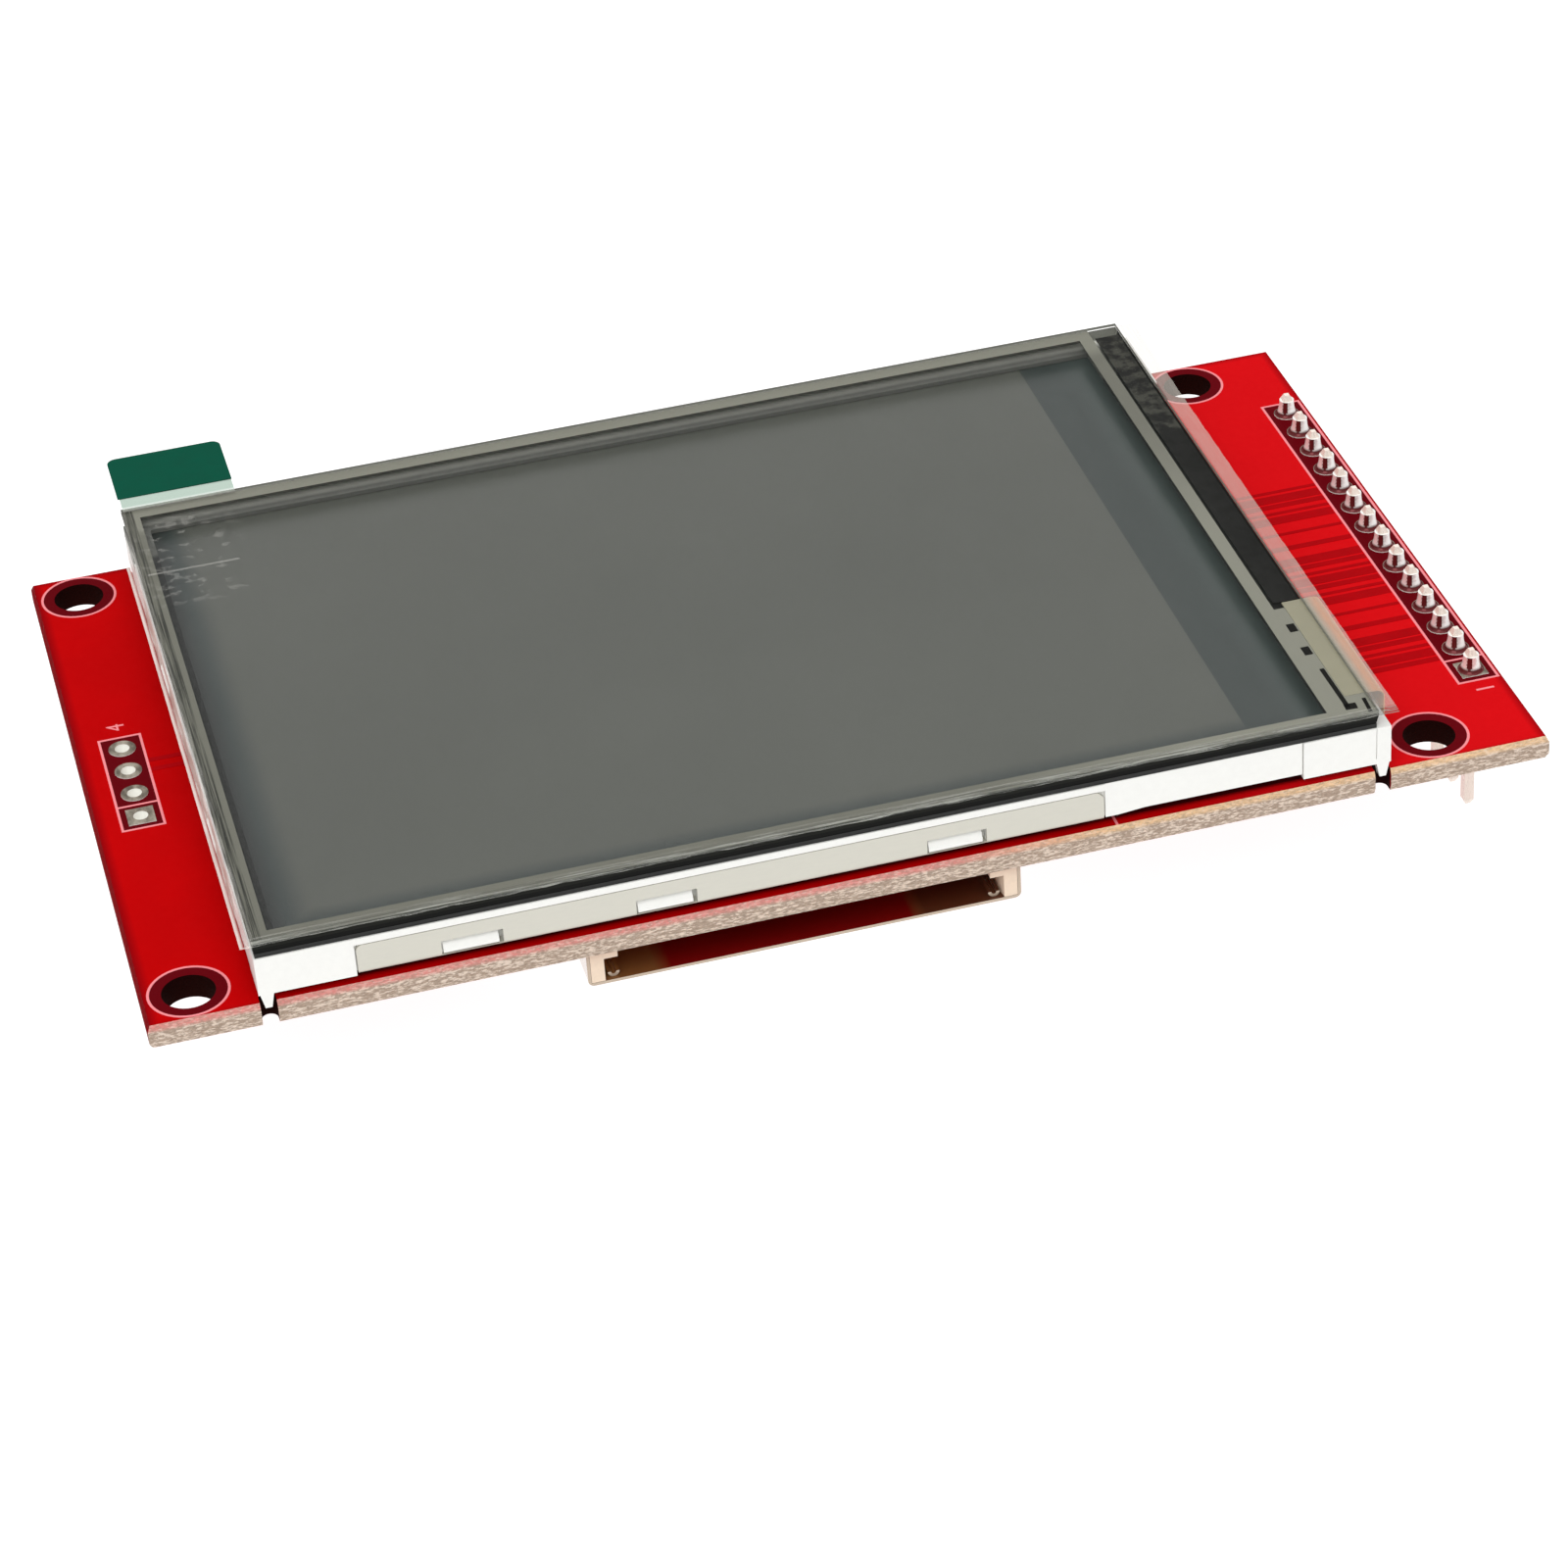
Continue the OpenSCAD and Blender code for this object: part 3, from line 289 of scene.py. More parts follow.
def build_facing_group():
    """1 on faces that look along a direction, 0 on the others."""
    tree, start, end = new_group("faces_along", "Mask", Axis=(0, -1, 0), Limit=0.7)
    along = measure(tree, "DOT_PRODUCT", face_direction(tree), start["Axis"])
    close_group(tree, end, number(tree, "SUBTRACT", along, start["Limit"]), 20)


def build_stripe_group():
    """Parallel lines across a direction, such as the copper of a flexible circuit."""
    tree, start, end = new_group("parallel_lines", "Mask", Across=(0, 1, 0), Pitch=0.8, Share=0.5)
    run = measure(tree, "DOT_PRODUCT", position_mm(tree), start["Across"])
    part = number(tree, "FRACT", number(tree, "DIVIDE", run, start["Pitch"]))
    middle = number(tree, "ABSOLUTE", number(tree, "SUBTRACT", part, 0.5))
    half = number(tree, "MULTIPLY", start["Share"], 0.5)
    close_group(tree, end, number(tree, "SUBTRACT", half, middle), 12)


def build_groups():
    build_grain_group()
    build_box_group()
    build_ring_group()
    build_side_group()
    build_facing_group()
    build_stripe_group()


# ---------------------------------------------------------------- finishes

class Finish:
    """One material: its shader, and short ways to add nodes and join them to it."""

    def __init__(self, name, **constants):
        self.material = bpy.data.materials.new(name)
        self.material.use_nodes = True
        self.tree = self.material.node_tree
        self.shader = self.tree.nodes["Principled BSDF"]
        for label, value in constants.items():
            self.shader.inputs[label.replace("_", " ")].default_value = value

    def group(self, name, **inputs):
        node = self.tree.nodes.new("ShaderNodeGroup")
        node.node_tree = bpy.data.node_groups[name]
        for label, value in inputs.items():
            node.inputs[label].default_value = value
        return node.outputs[0]

    def grain(self, size_mm, contrast=1.6, stretch=(1, 1, 1)):
        """Fine speckle between 0 and 1."""
        return self.group("fine_grain", Size=size_mm, Stretch=stretch, Contrast=contrast)

    def region(self, x=EVERYWHERE, y=EVERYWHERE, z=EVERYWHERE, steepness=40.0):
        """1 between these limits in millimetres and 0 outside, with a step as soft as 1 / steepness."""
        low, high = zip(x, y, z)
        return self.group("box_mask", Low=low, High=high, Steepness=steepness)

    def facing(self, axis, limit=0.7):
        return self.group("faces_along", Axis=axis, Limit=limit)

    def upright(self):
        return self.group("upright_faces")

    def mix(self, mask, first, second):
        """First colour where the mask is 0, second where it is 1."""
        node = self.tree.nodes.new("ShaderNodeMix")
        node.data_type = "RGBA"
        self.tree.links.new(mask, node.inputs[0])
        for index, value in ((6, first), (7, second)):
            if isinstance(value, bpy.types.NodeSocket):
                self.tree.links.new(value, node.inputs[index])
            else:
                node.inputs[index].default_value = (*value, 1)
        return node.outputs[2]

    def calc(self, operation, first, second):
        return number(self.tree, operation, first, second)

    def range(self, value, low, high):
        node = self.tree.nodes.new("ShaderNodeMapRange")
        self.tree.links.new(value, node.inputs["Value"])
        node.inputs["To Min"].default_value = low
        node.inputs["To Max"].default_value = high
        return node.outputs[0]

    def feed(self, label, value):
        self.tree.links.new(value, self.shader.inputs[label])

    def surface(self, value, rough, height, strength, rise_mm):
        """A roughness that follows a value, and a fine relief."""
        self.feed("Roughness", self.range(value, *rough))
        node = self.tree.nodes.new("ShaderNodeBump")
        node.inputs["Strength"].default_value = strength
        node.inputs["Distance"].default_value = rise_mm * MM
        self.tree.links.new(height, node.inputs["Height"])
        self.feed("Normal", node.outputs[0])

    def between(self, mask, first, second):
        """First number where the mask is 0, second where it is 1."""
        node = self.tree.nodes.new("ShaderNodeMix")
        for index, value in ((0, mask), (2, first), (3, second)):
            if isinstance(value, bpy.types.NodeSocket):
                self.tree.links.new(value, node.inputs[index])
            else:
                node.inputs[index].default_value = value
        return node.outputs[0]


def darker(tint, factor):
    return tuple(channel * factor for channel in tint)


def speckled(name, tint, grain, depth, rough, stretch=(1, 1, 1), rise=0.004, **constants):
    """A finish with a fine grain in its colour, its gloss and its surface."""
    finish = Finish(name, **constants)
    value = finish.grain(grain, stretch=stretch)
    finish.paint = finish.mix(value, darker(tint, depth), tint)
    finish.feed("Base Color", finish.paint)
    finish.surface(value, rough, value, 0.5, rise)
    return finish


def board_finish(look):
    """Red solder mask over laminate, with bare rings round the holes and fibres in the edge; painted light
    on its right end, a painted shadow under the tray, and painted shade on its left end faces, in its holes
    and over its rows of pads.
    """
    finish = Finish("board_laminate", Specular_IOR_Level=look.gloss)
    weave = finish.grain(0.35, 1.2)
    mask = finish.mix(finish.grain(9.0, 1.4), darker(look.mask, 0.76), look.mask)
    lit_end = finish.region(x=(26, FAR), z=(0, 9), steepness=0.08)
    mask = finish.mix(lit_end, mask, look.mask_lit)
    # Darker along the outline of the board.
    margin = finish.region(x=(BOARD_LOW.x + 0.45, BOARD_HIGH.x - 0.4),
                           y=(BOARD_LOW.y + 0.1, BOARD_HIGH.y - 0.35), steepness=1.4)
    mask = finish.mix(margin, darker(look.mask_deep, 0.8), mask)
    mask = finish.mix(finish.range(weave, 0.0, 0.12), mask, look.mask_deep)
    bare = finish.group("hole_ring", Radius=RING_RADIUS)
    # Painted shade: a dark maroon box over each row of pads, in the colour of the bare rings round the
    # mounting holes.
    for x, ys in ((PIN_X, PIN_YS), (SERVICE_X, SERVICE_YS)):
        row = finish.region(x=(x - PAD_REACH, x + PAD_REACH), y=(ys[0] - PAD_REACH, ys[-1] + PAD_REACH),
                            z=(1, FAR))
        bare = finish.calc("MAXIMUM", bare, row)
    face = finish.mix(bare, mask, look.mask_bare)
    # Painted shadow: the board is near-black red under the tray and the frame.
    painted_tray_shadow = finish.region(x=(FRAME_LOW.x + 0.2, FRAME_HIGH.x - 0.2),
                               y=(FRAME_LOW.y + 0.8, FRAME_HIGH.y), z=(1, FAR), steepness=3)
    face = finish.mix(painted_tray_shadow, face, colour(70, 2, 6))
    fibres = finish.grain(0.085, 3.4, (2.6, 2.6, 1))
    flecks = finish.grain(0.15, 5.0, (2.4, 2.4, 0.7))
    edge = finish.mix(fibres, darker(look.edge, 0.66), look.edge)
    edge = finish.mix(finish.range(flecks, -0.55, 0.9), edge, look.edge_light)
    chipped = finish.mix(finish.region(x=(12, FAR), steepness=0.1), look.edge_worn,
                         colour(240, 198, 150))
    top = finish.region(z=(BOARD_HIGH.z - 0.36, FAR), steepness=5)
    edge = finish.mix(finish.calc("MULTIPLY", top, finish.range(fibres, 0.35, 0.85)), edge, chipped)
    # Painted shade: end faces that look left take a dark maroon instead of laminate.
    edge = finish.mix(finish.facing((-1, 0, 0), 0.6), edge, darker(look.mask_deep, 0.8))
    inset = 0.22  # walls further in than this belong to holes
    within = finish.region(x=(BOARD_LOW.x + inset, BOARD_HIGH.x - inset),
                           y=(BOARD_LOW.y + inset, BOARD_HIGH.y - inset))
    # Painted shade: walls of the holes and notches are near black instead of laminate.
    wall = finish.mix(within, edge, colour(30, 7, 5))
    upright = finish.upright()
    finish.feed("Base Color", finish.mix(upright, face, wall))
    relief = finish.calc("ADD", finish.calc("MULTIPLY", fibres, upright),
                         finish.calc("MULTIPLY", weave, 0.12))
    finish.surface(finish.calc("MAXIMUM", upright, weave), (0.34, 0.62), relief, 0.7, 0.05)
    return finish.material


def flex_finish(name, tint, end=None, bonded=None, lines_share=0.58):
    """Amber film with copper lines under it, and maybe a bonded end in another colour."""
    finish = Finish(name, Specular_IOR_Level=0.4, Coat_Weight=0.3, Coat_Roughness=0.2)
    lines = finish.group("parallel_lines", Pitch=0.62, Share=lines_share)
    cloud = finish.grain(1.5)
    paint = finish.mix(lines, finish.mix(cloud, darker(tint, 0.8), tint), darker(tint, 0.62))
    if bonded:
        paint = finish.mix(finish.region(steepness=2.2, **end), paint,
                           finish.mix(cloud, darker(bonded, 0.85), bonded))
    finish.feed("Base Color", paint)
    relief = finish.calc("ADD", lines, finish.calc("MULTIPLY", cloud, 0.4))
    finish.surface(cloud, (0.3, 0.45), relief, 0.4, 0.02)
    return finish.material


def screen_finish(look):
    """Dark polariser: a lighter active area, crisp at one end and soft elsewhere, in a slate surround, with
    painted light on the slate near its right end and painted shade along its left and front edges.
    """
    finish = Finish("screen_polariser", Specular_IOR_Level=0.5)
    low, high = extent("front_polariser")
    half_length = look.active_length / MM / 2
    half_width = look.active_width / MM / 2
    centre = look.active_centre / MM
    soft = finish.region(x=(centre - half_length, FAR), y=(-half_width, half_width + 4), steepness=0.7)
    crisp = finish.region(x=(-FAR, centre + half_length), steepness=12)
    active = finish.calc("MULTIPLY", soft, crisp)
    drift = finish.grain(28.0, stretch=(1.4, 1, 1))
    cells = finish.group("parallel_lines", Pitch=0.18, Share=0.5)
    lit = finish.mix(drift, darker(look.lit, 0.84), darker(look.lit, 1.08))
    lit = finish.mix(finish.range(cells, 0.0, 0.05), lit, darker(look.lit, 0.5))
    slate = finish.mix(drift, darker(look.slate, 0.9), look.slate)
    # Painted light: the slate is lighter towards the right end, against the shade of the border.
    outer = finish.region(x=(centre + half_length + 3.4, FAR), steepness=0.5)
    slate = finish.mix(outer, slate, darker(look.slate, 1.6))
    # Painted shade: a dark rim along the left and front edges, in the shade of the border.
    inner = finish.region(x=(low.x + 0.8, FAR), y=(low.y + 0.5, high.y + 1.0), steepness=1.2)
    shade = finish.mix(active, slate, lit)
    finish.feed("Base Color", finish.mix(inner, darker(look.slate, 0.35), shade))
    finish.surface(drift, (0.26, 0.34), cells, 0.05, 0.002)
    return finish.material


def border_finish(look):
    """Printed border of the touch panel: grey, with painted light over its right front part and along its
    back, and dark with thin lines along its outer edge.
    """
    finish = Finish("panel_border", Specular_IOR_Level=0.2)
    cloud = finish.grain(0.9)
    inside = finish.region(x=(PANEL_LOW.x + 0.72, FAR), y=(PANEL_LOW.y + 0.16, PANEL_HIGH.y - 0.1),
                           steepness=16)
    grey = finish.mix(cloud, darker(look.border, 0.88), look.border)
    # Painted light: the grey is lighter over the right front part and along the back.
    painted_light_right_front = finish.region(x=(18, FAR), y=(-FAR, 4), z=(0, 20), steepness=0.06)
    grey = finish.mix(painted_light_right_front, grey, darker(look.border, 1.55))
    grey = finish.mix(finish.region(y=(22, FAR), steepness=0.8), grey, darker(look.border, 1.36))
    rim = finish.mix(finish.grain(0.09, 5.0, (1, 60, 1)), colour(34, 35, 30), colour(100, 100, 90))
    face = finish.mix(inside, rim, grey)
    finish.feed("Base Color", finish.mix(finish.upright(), face, colour(70, 72, 66)))
    finish.surface(cloud, (0.4, 0.55), cloud, 0.5, 0.004)
    return finish.material


def clear_finish(name, tint, side_low, side_high, split_z, veil, rough=0.12, gloss=0.5):
    """Clear sheet seen from above, with a solid colour in its cut edges, and painted light on the back ones.
    """
    finish = Finish(name, Specular_IOR_Level=gloss, IOR=1.5)
    upright = finish.upright()
    grain = finish.grain(0.5, 1.8, (6, 6, 1))
    side = finish.mix(finish.region(z=(-FAR, split_z), steepness=30),
                      finish.mix(grain, darker(side_high, 0.75), side_high),
                      finish.mix(grain, darker(side_low, 0.7), side_low))
    # Painted light: the back cut edges are a lighter grey, against the shade they lie in.
    side = finish.mix(finish.region(y=(GLASS_HIGH.y - 0.5, FAR), steepness=20), side,
                      finish.mix(grain, colour(122, 123, 115), colour(132, 133, 125)))
    finish.feed("Base Color", finish.mix(upright, tint, side))
    finish.feed("Alpha", finish.range(upright, veil, 1.0))
    finish.feed("Roughness", finish.range(grain, rough, rough + 0.06))
    return finish.material


def sheet_finish(look):
    """Protective film: clear over the screen, milky along its free edges, which also carry a painted glint,
    and in a few blisters.
    """
    finish = Finish("protective_film", Specular_IOR_Level=0.4, IOR=1.45)
    smear = finish.grain(7.0, 2.5)
    streak = finish.grain(0.12, 4.0, (1, 26, 1))
    crease = finish.grain(0.12, 5.0, (40, 1, 1))
    front = finish.region(x=(PANEL_LOW.x, FAR), y=(-FAR, PANEL_LOW.y + 0.3), steepness=4)
    right = finish.region(x=(PANEL_HIGH.x - 1.0, FAR), steepness=4)
    sides = finish.between(right, finish.range(streak, 0.05, 0.8), finish.range(streak, 0.86, 1.0))
    lines = finish.between(front, sides, finish.range(crease, 0.1, 1.9))
    panel = finish.region(x=(PANEL_LOW.x + 0.1, PANEL_HIGH.x), y=(PANEL_LOW.y + 0.25, PANEL_HIGH.y),
                          steepness=4)
    # Painted highlight: the outermost strip at the left and front edges is pale and more opaque.
    inner = finish.region(x=(FILM_LOW.x + 0.2, FAR), y=(FILM_LOW.y + 0.1, FAR), steepness=6)
    corner = finish.region(x=(PANEL_LOW.x + 0.6, PANEL_LOW.x + 6.5), y=(12.0, 23.4), steepness=0.5)
    blister = finish.range(finish.grain(0.7, 4.0, (1.4, 1, 1)), -0.26, 0.1)
    scratch = finish.region(x=(PANEL_LOW.x + 0.5, PANEL_LOW.x + 6.4), y=(16.1, 16.26), steepness=7)
    tongue = finish.region(y=(PANEL_HIGH.y - 0.2, FAR), steepness=1.4)
    veil = finish.range(smear, look.haze * 0.4, look.haze)
    for mark in (finish.calc("MULTIPLY", corner, blister), finish.range(scratch, 0.0, 0.22),
                 finish.range(tongue, 0.0, 0.82), finish.range(inner, look.edge * 1.5, 0.0),
                 finish.calc("MULTIPLY", finish.range(panel, look.edge, 0.0), lines)):
        veil = finish.calc("MAXIMUM", veil, mark)
    finish.feed("Alpha", veil)
    milky = finish.mix(streak, colour(222, 219, 210), colour(244, 241, 234))
    milky = finish.mix(right, milky, colour(198, 190, 180))
    milky = finish.mix(front, milky, finish.mix(crease, colour(30, 31, 27), colour(150, 151, 143)))
    finish.feed("Base Color", finish.mix(tongue, milky, colour(146, 172, 155)))
    finish.surface(smear, (0.08, 0.2), finish.calc("ADD", streak, smear), 0.2, 0.05)
    return finish.material


def shell_finish(look):
    """Bright rolled steel, with the dull cut edge of the sheet at the mouth, and painted reflections on its
    inner floor.
    """
    finish = Finish("shell_steel")
    grain = finish.grain(0.12, stretch=(1, 9, 1))
    cut = finish.facing((0, -1, 0))
    inside = finish.facing((0, 0, 1))
    width = SHELL_HIGH.x - SHELL_LOW.x
    right_x = SHELL_HIGH.x - width * 0.26
    # Painted reflection: the inner floor, made less metallic, is brown at the ends and the red of the board
    # in the middle.
    middle = finish.region(x=(SHELL_LOW.x + width * 0.2, right_x), z=(-FAR, 0), steepness=1.0)
    right = finish.region(x=(right_x, FAR), z=(-FAR, 0), steepness=1.0)
    floor = finish.mix(middle, colour(126, 86, 46), colour(122, 12, 10))
    floor = finish.mix(right, floor, colour(88, 50, 30))
    rolled = finish.mix(grain, darker(look.shell, 0.9), look.shell)
    face = finish.mix(inside, rolled, floor)
    finish.feed("Base Color", finish.mix(cut, face, darker(look.socket, 0.6)))
    finish.feed("Metallic", finish.range(finish.calc("MAXIMUM", cut, inside), 1.0, 0.2))
    finish.surface(grain, (0.16, 0.28), grain, 0.4, 0.003)
    return finish.material


def plating_finish():
    """Tinned copper of the plated holes, bright on their walls."""
    finish = Finish("hole_plating")
    upright = finish.upright()
    rim = finish.mix(finish.grain(0.7, 4.0, (1, 2, 1)), colour(96, 88, 76), colour(172, 164, 148))
    finish.feed("Base Color", finish.mix(upright, rim, colour(250, 250, 244)))
    finish.feed("Metallic", finish.range(upright, 0.6, 0.0))
    fine = finish.grain(0.25)
    finish.surface(fine, (0.3, 0.45), fine, 0.5, 0.004)
    return finish.material


def solder_finish(tin):
    """Bright solder, with a painted dark reflection of the board on one side and on the foot."""
    finish = Finish("bright_solder", Metallic=0.3, Specular_IOR_Level=0.2)
    pitted = finish.grain(0.5)
    # Painted reflection: one side and the foot of each joint are dark red.
    painted_reflection_flank = finish.facing((-0.52, -0.85, 0.1), 0.93)
    foot = finish.region(z=(-FAR, BOARD_HIGH.z + 0.3), steepness=7)
    bright = finish.mix(pitted, darker(tin, 0.94), tin)
    finish.feed("Base Color", finish.mix(finish.calc("MAXIMUM", painted_reflection_flank, foot), bright,
                                         colour(96, 34, 36)))
    finish.surface(pitted, (0.12, 0.24), pitted, 0.5, 0.03)
    return finish.material


def tape_finish():
    """Black foam tape, with painted light along the back: grey there, and lighter still where it lies in the
    shade of the border.
    """
    finish = speckled("panel_tape", colour(28, 29, 28), 0.3, 1.0, (0.6, 0.8))
    # Painted light: lighter the deeper the tape lies under the border.
    painted_light_in_shade = finish.calc("MULTIPLY", finish.region(y=(24.12, FAR), steepness=1.3),
                         finish.facing((0, 0, 1)))
    grey = finish.mix(painted_light_in_shade, colour(88, 89, 84), colour(205, 206, 196))
    back = finish.region(y=(20, FAR), steepness=2)
    finish.feed("Base Color", finish.mix(back, finish.paint, grey))
    return finish.material


def strip_finish(look):
    """Dark strip at the end of the touch panel, worn near its back end."""
    finish = Finish("strip_ink", Specular_IOR_Level=0.08)
    low, high = extent("touch_edge_strip")
    blotch = finish.grain(0.9, 6.0)
    third = finish.region(y=(high.y - (high.y - low.y) * 0.38, FAR), steepness=3)
    worn = finish.calc("MULTIPLY", finish.range(blotch, 0.0, 0.3), third)
    finish.feed("Base Color", finish.mix(worn, look.strip, look.border))
    finish.feed("Roughness", finish.range(blotch, 0.35, 0.5))
    return finish.material


def wear(node, material):
    """Gives a piece of the frame its finish."""
    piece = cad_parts[node]
    if piece.material_slots:
        for slot in piece.material_slots:
            slot.material = material
    else:
        piece.data.materials.append(material)


def dress(nodes, *values, **constants):
    """Gives several pieces of the frame one speckled finish."""
    material = speckled(*values, **constants).material
    for node in nodes.split():
        wear(node, material)


# ---------------------------------------------------------------- shapes

def prism(mesh, outline, low, high):
    """A flat plate with this outline, from one height to another."""
    bottom = [mesh.verts.new((x, y, low)) for x, y in outline]
    top = [mesh.verts.new((x, y, high)) for x, y in outline]
    mesh.faces.new(list(reversed(bottom)))
    mesh.faces.new(top)
    for i in range(len(outline)):
        j = (i + 1) % len(outline)
        mesh.faces.new((bottom[i], bottom[j], top[j], top[i]))


def ribbon(mesh, points, width, low, high):
    """A flat strip of even width along these points, with mitred corners."""
    places = [Vector(p) for p in points]
    left, right = [], []
    for i, place in enumerate(places):
        before = (place - places[i - 1]).normalized() if i else None
        after = (places[i + 1] - place).normalized() if i + 1 < len(places) else None
        along = ((before or after) + (after or before)).normalized()
        across = Vector((-along.y, along.x))
        turn = along.dot(before or after)
        reach = width / 2 / max(turn, 0.4)
        left.append(place + across * reach)
        right.append(place - across * reach)
    for i in range(len(places) - 1):
        prism(mesh, [tuple(right[i]), tuple(right[i + 1]), tuple(left[i + 1]), tuple(left[i])], low, high)


def circle(x, y, radius, steps):
    """Points round a circle."""
    return [(x + radius * math.cos(2 * math.pi * i / steps), y + radius * math.sin(2 * math.pi * i / steps))
            for i in range(steps)]


def ring(mesh, x, y, inner, outer, low, high, steps=40):
    """A flat ring, or a disc where the inner radius is 0."""
    if inner <= 0:
        prism(mesh, circle(x, y, outer, steps), low, high)
        return
    outside_low, outside_high, inside_low, inside_high = [
        [mesh.verts.new((*point, z)) for point in circle(x, y, radius, steps)]
        for radius in (outer, inner) for z in (low, high)]
    for i in range(steps):
        j = (i + 1) % steps
        mesh.faces.new((outside_low[i], outside_low[j], outside_high[j], outside_high[i]))
        mesh.faces.new((inside_low[j], inside_low[i], inside_high[i], inside_high[j]))
        mesh.faces.new((outside_high[i], outside_high[j], inside_high[j], inside_high[i]))
        mesh.faces.new((outside_low[j], outside_low[i], inside_low[i], inside_low[j]))


def box_outline(mesh, low_x, low_y, high_x, high_y, width, low, high):
    """A rectangle of printed lines."""
    half = width / 2
    for x0, y0, x1, y1 in ((low_x - half, low_y - half, high_x + half, low_y + half),
                           (low_x - half, high_y - half, high_x + half, high_y + half),
                           (low_x - half, low_y + half, low_x + half, high_y - half),
                           (high_x - half, low_y + half, high_x + half, high_y - half)):
        prism(mesh, [(x0, y0), (x1, y0), (x1, y1), (x0, y1)], low, high)


def piece_from(mesh, name, material, smooth=False):
    """Turns a mesh drawn in millimetres into a piece that rides on the module."""
    bmesh.ops.recalc_face_normals(mesh, faces=mesh.faces)
    bmesh.ops.scale(mesh, vec=(MM, MM, MM), verts=mesh.verts)
    data = bpy.data.meshes.new(name)
    mesh.to_mesh(data)
    mesh.free()
    for face in data.polygons:
        face.use_smooth = smooth
    data.materials.append(material)
    piece = bpy.data.objects.new(name, data)
    bpy.context.scene.collection.objects.link(piece)
    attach(piece, "root")
    return piece


def clear_skin(node, name, material):
    """Draws a flat clear pane anew with its top and its cut edges only, and puts it in its place."""
    low, high = extent(node)
    lean = (high.z - low.z) * 0.18
    skin = bmesh.new()
    top, bottom = [[skin.verts.new(corner) for corner in
                    ((low.x + inset, low.y + inset, z), (high.x - inset, low.y + inset, z),
                     (high.x - inset, high.y - inset, z), (low.x + inset, high.y - inset, z))]
                   for inset, z in ((0.0, high.z), (lean, low.z))]
    skin.faces.new(top)
    for i in range(4):
        j = (i + 1) % 4
        skin.faces.new((bottom[i], bottom[j], top[j], top[i]))
    piece = piece_from(skin, name, material)
    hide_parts(node)


def number_plate(mesh, text, x, y, height, angle, low, high, from_below=False):
    """Adds plain printed digits to a mesh, upright for someone who looks at that side."""
    letters = bpy.data.curves.new("digits", "FONT")
    letters.body = text
    letters.size = height
    letters.align_x = "CENTER"
    letters.align_y = "CENTER"
    letters.resolution_u = 2
    carrier = bpy.data.objects.new("digits", letters)
    bpy.context.scene.collection.objects.link(carrier)
    bpy.context.view_layer.update()
    flat = bpy.data.meshes.new_from_object(carrier.evaluated_get(bpy.context.evaluated_depsgraph_get()))
    bpy.data.objects.remove(carrier)
    drawn = bmesh.new()
    drawn.from_mesh(flat)
    bpy.data.meshes.remove(flat)
    bpy.data.curves.remove(letters)
    body = bmesh.ops.extrude_face_region(drawn, geom=drawn.faces[:])
    lifted = [part for part in body["geom"] if isinstance(part, bmesh.types.BMVert)]
    bmesh.ops.translate(drawn, vec=(0, 0, high - low), verts=lifted)
    turn = Matrix.Rotation(angle, 4, "Z")
    if from_below:
        turn = turn @ Matrix.Scale(-1, 4, (1, 0, 0))
    bmesh.ops.transform(drawn, matrix=Matrix.Translation((x, y, low)) @ turn, verts=drawn.verts)
    scratch = bpy.data.meshes.new("digits")
    drawn.to_mesh(scratch)
    drawn.free()
    mesh.from_mesh(scratch)
    bpy.data.meshes.remove(scratch)


# ---------------------------------------------------------------- operators

class DISPLAYMODULE_OT_board(bpy.types.Operator):
    """Finish the red circuit board, its printed lines and its plated holes"""
    bl_idname = "display_module.board"
    bl_label = "Circuit Board"

    def execute(self, context):
        look = context.scene.module_board
        wear("board", board_finish(look))
        dress("board_print", "printed_ink", look.ink, 0.12, 0.86, (0.5, 0.7), rise=0.01)
        wear("plated_holes", plating_finish())
        return {"FINISHED"}


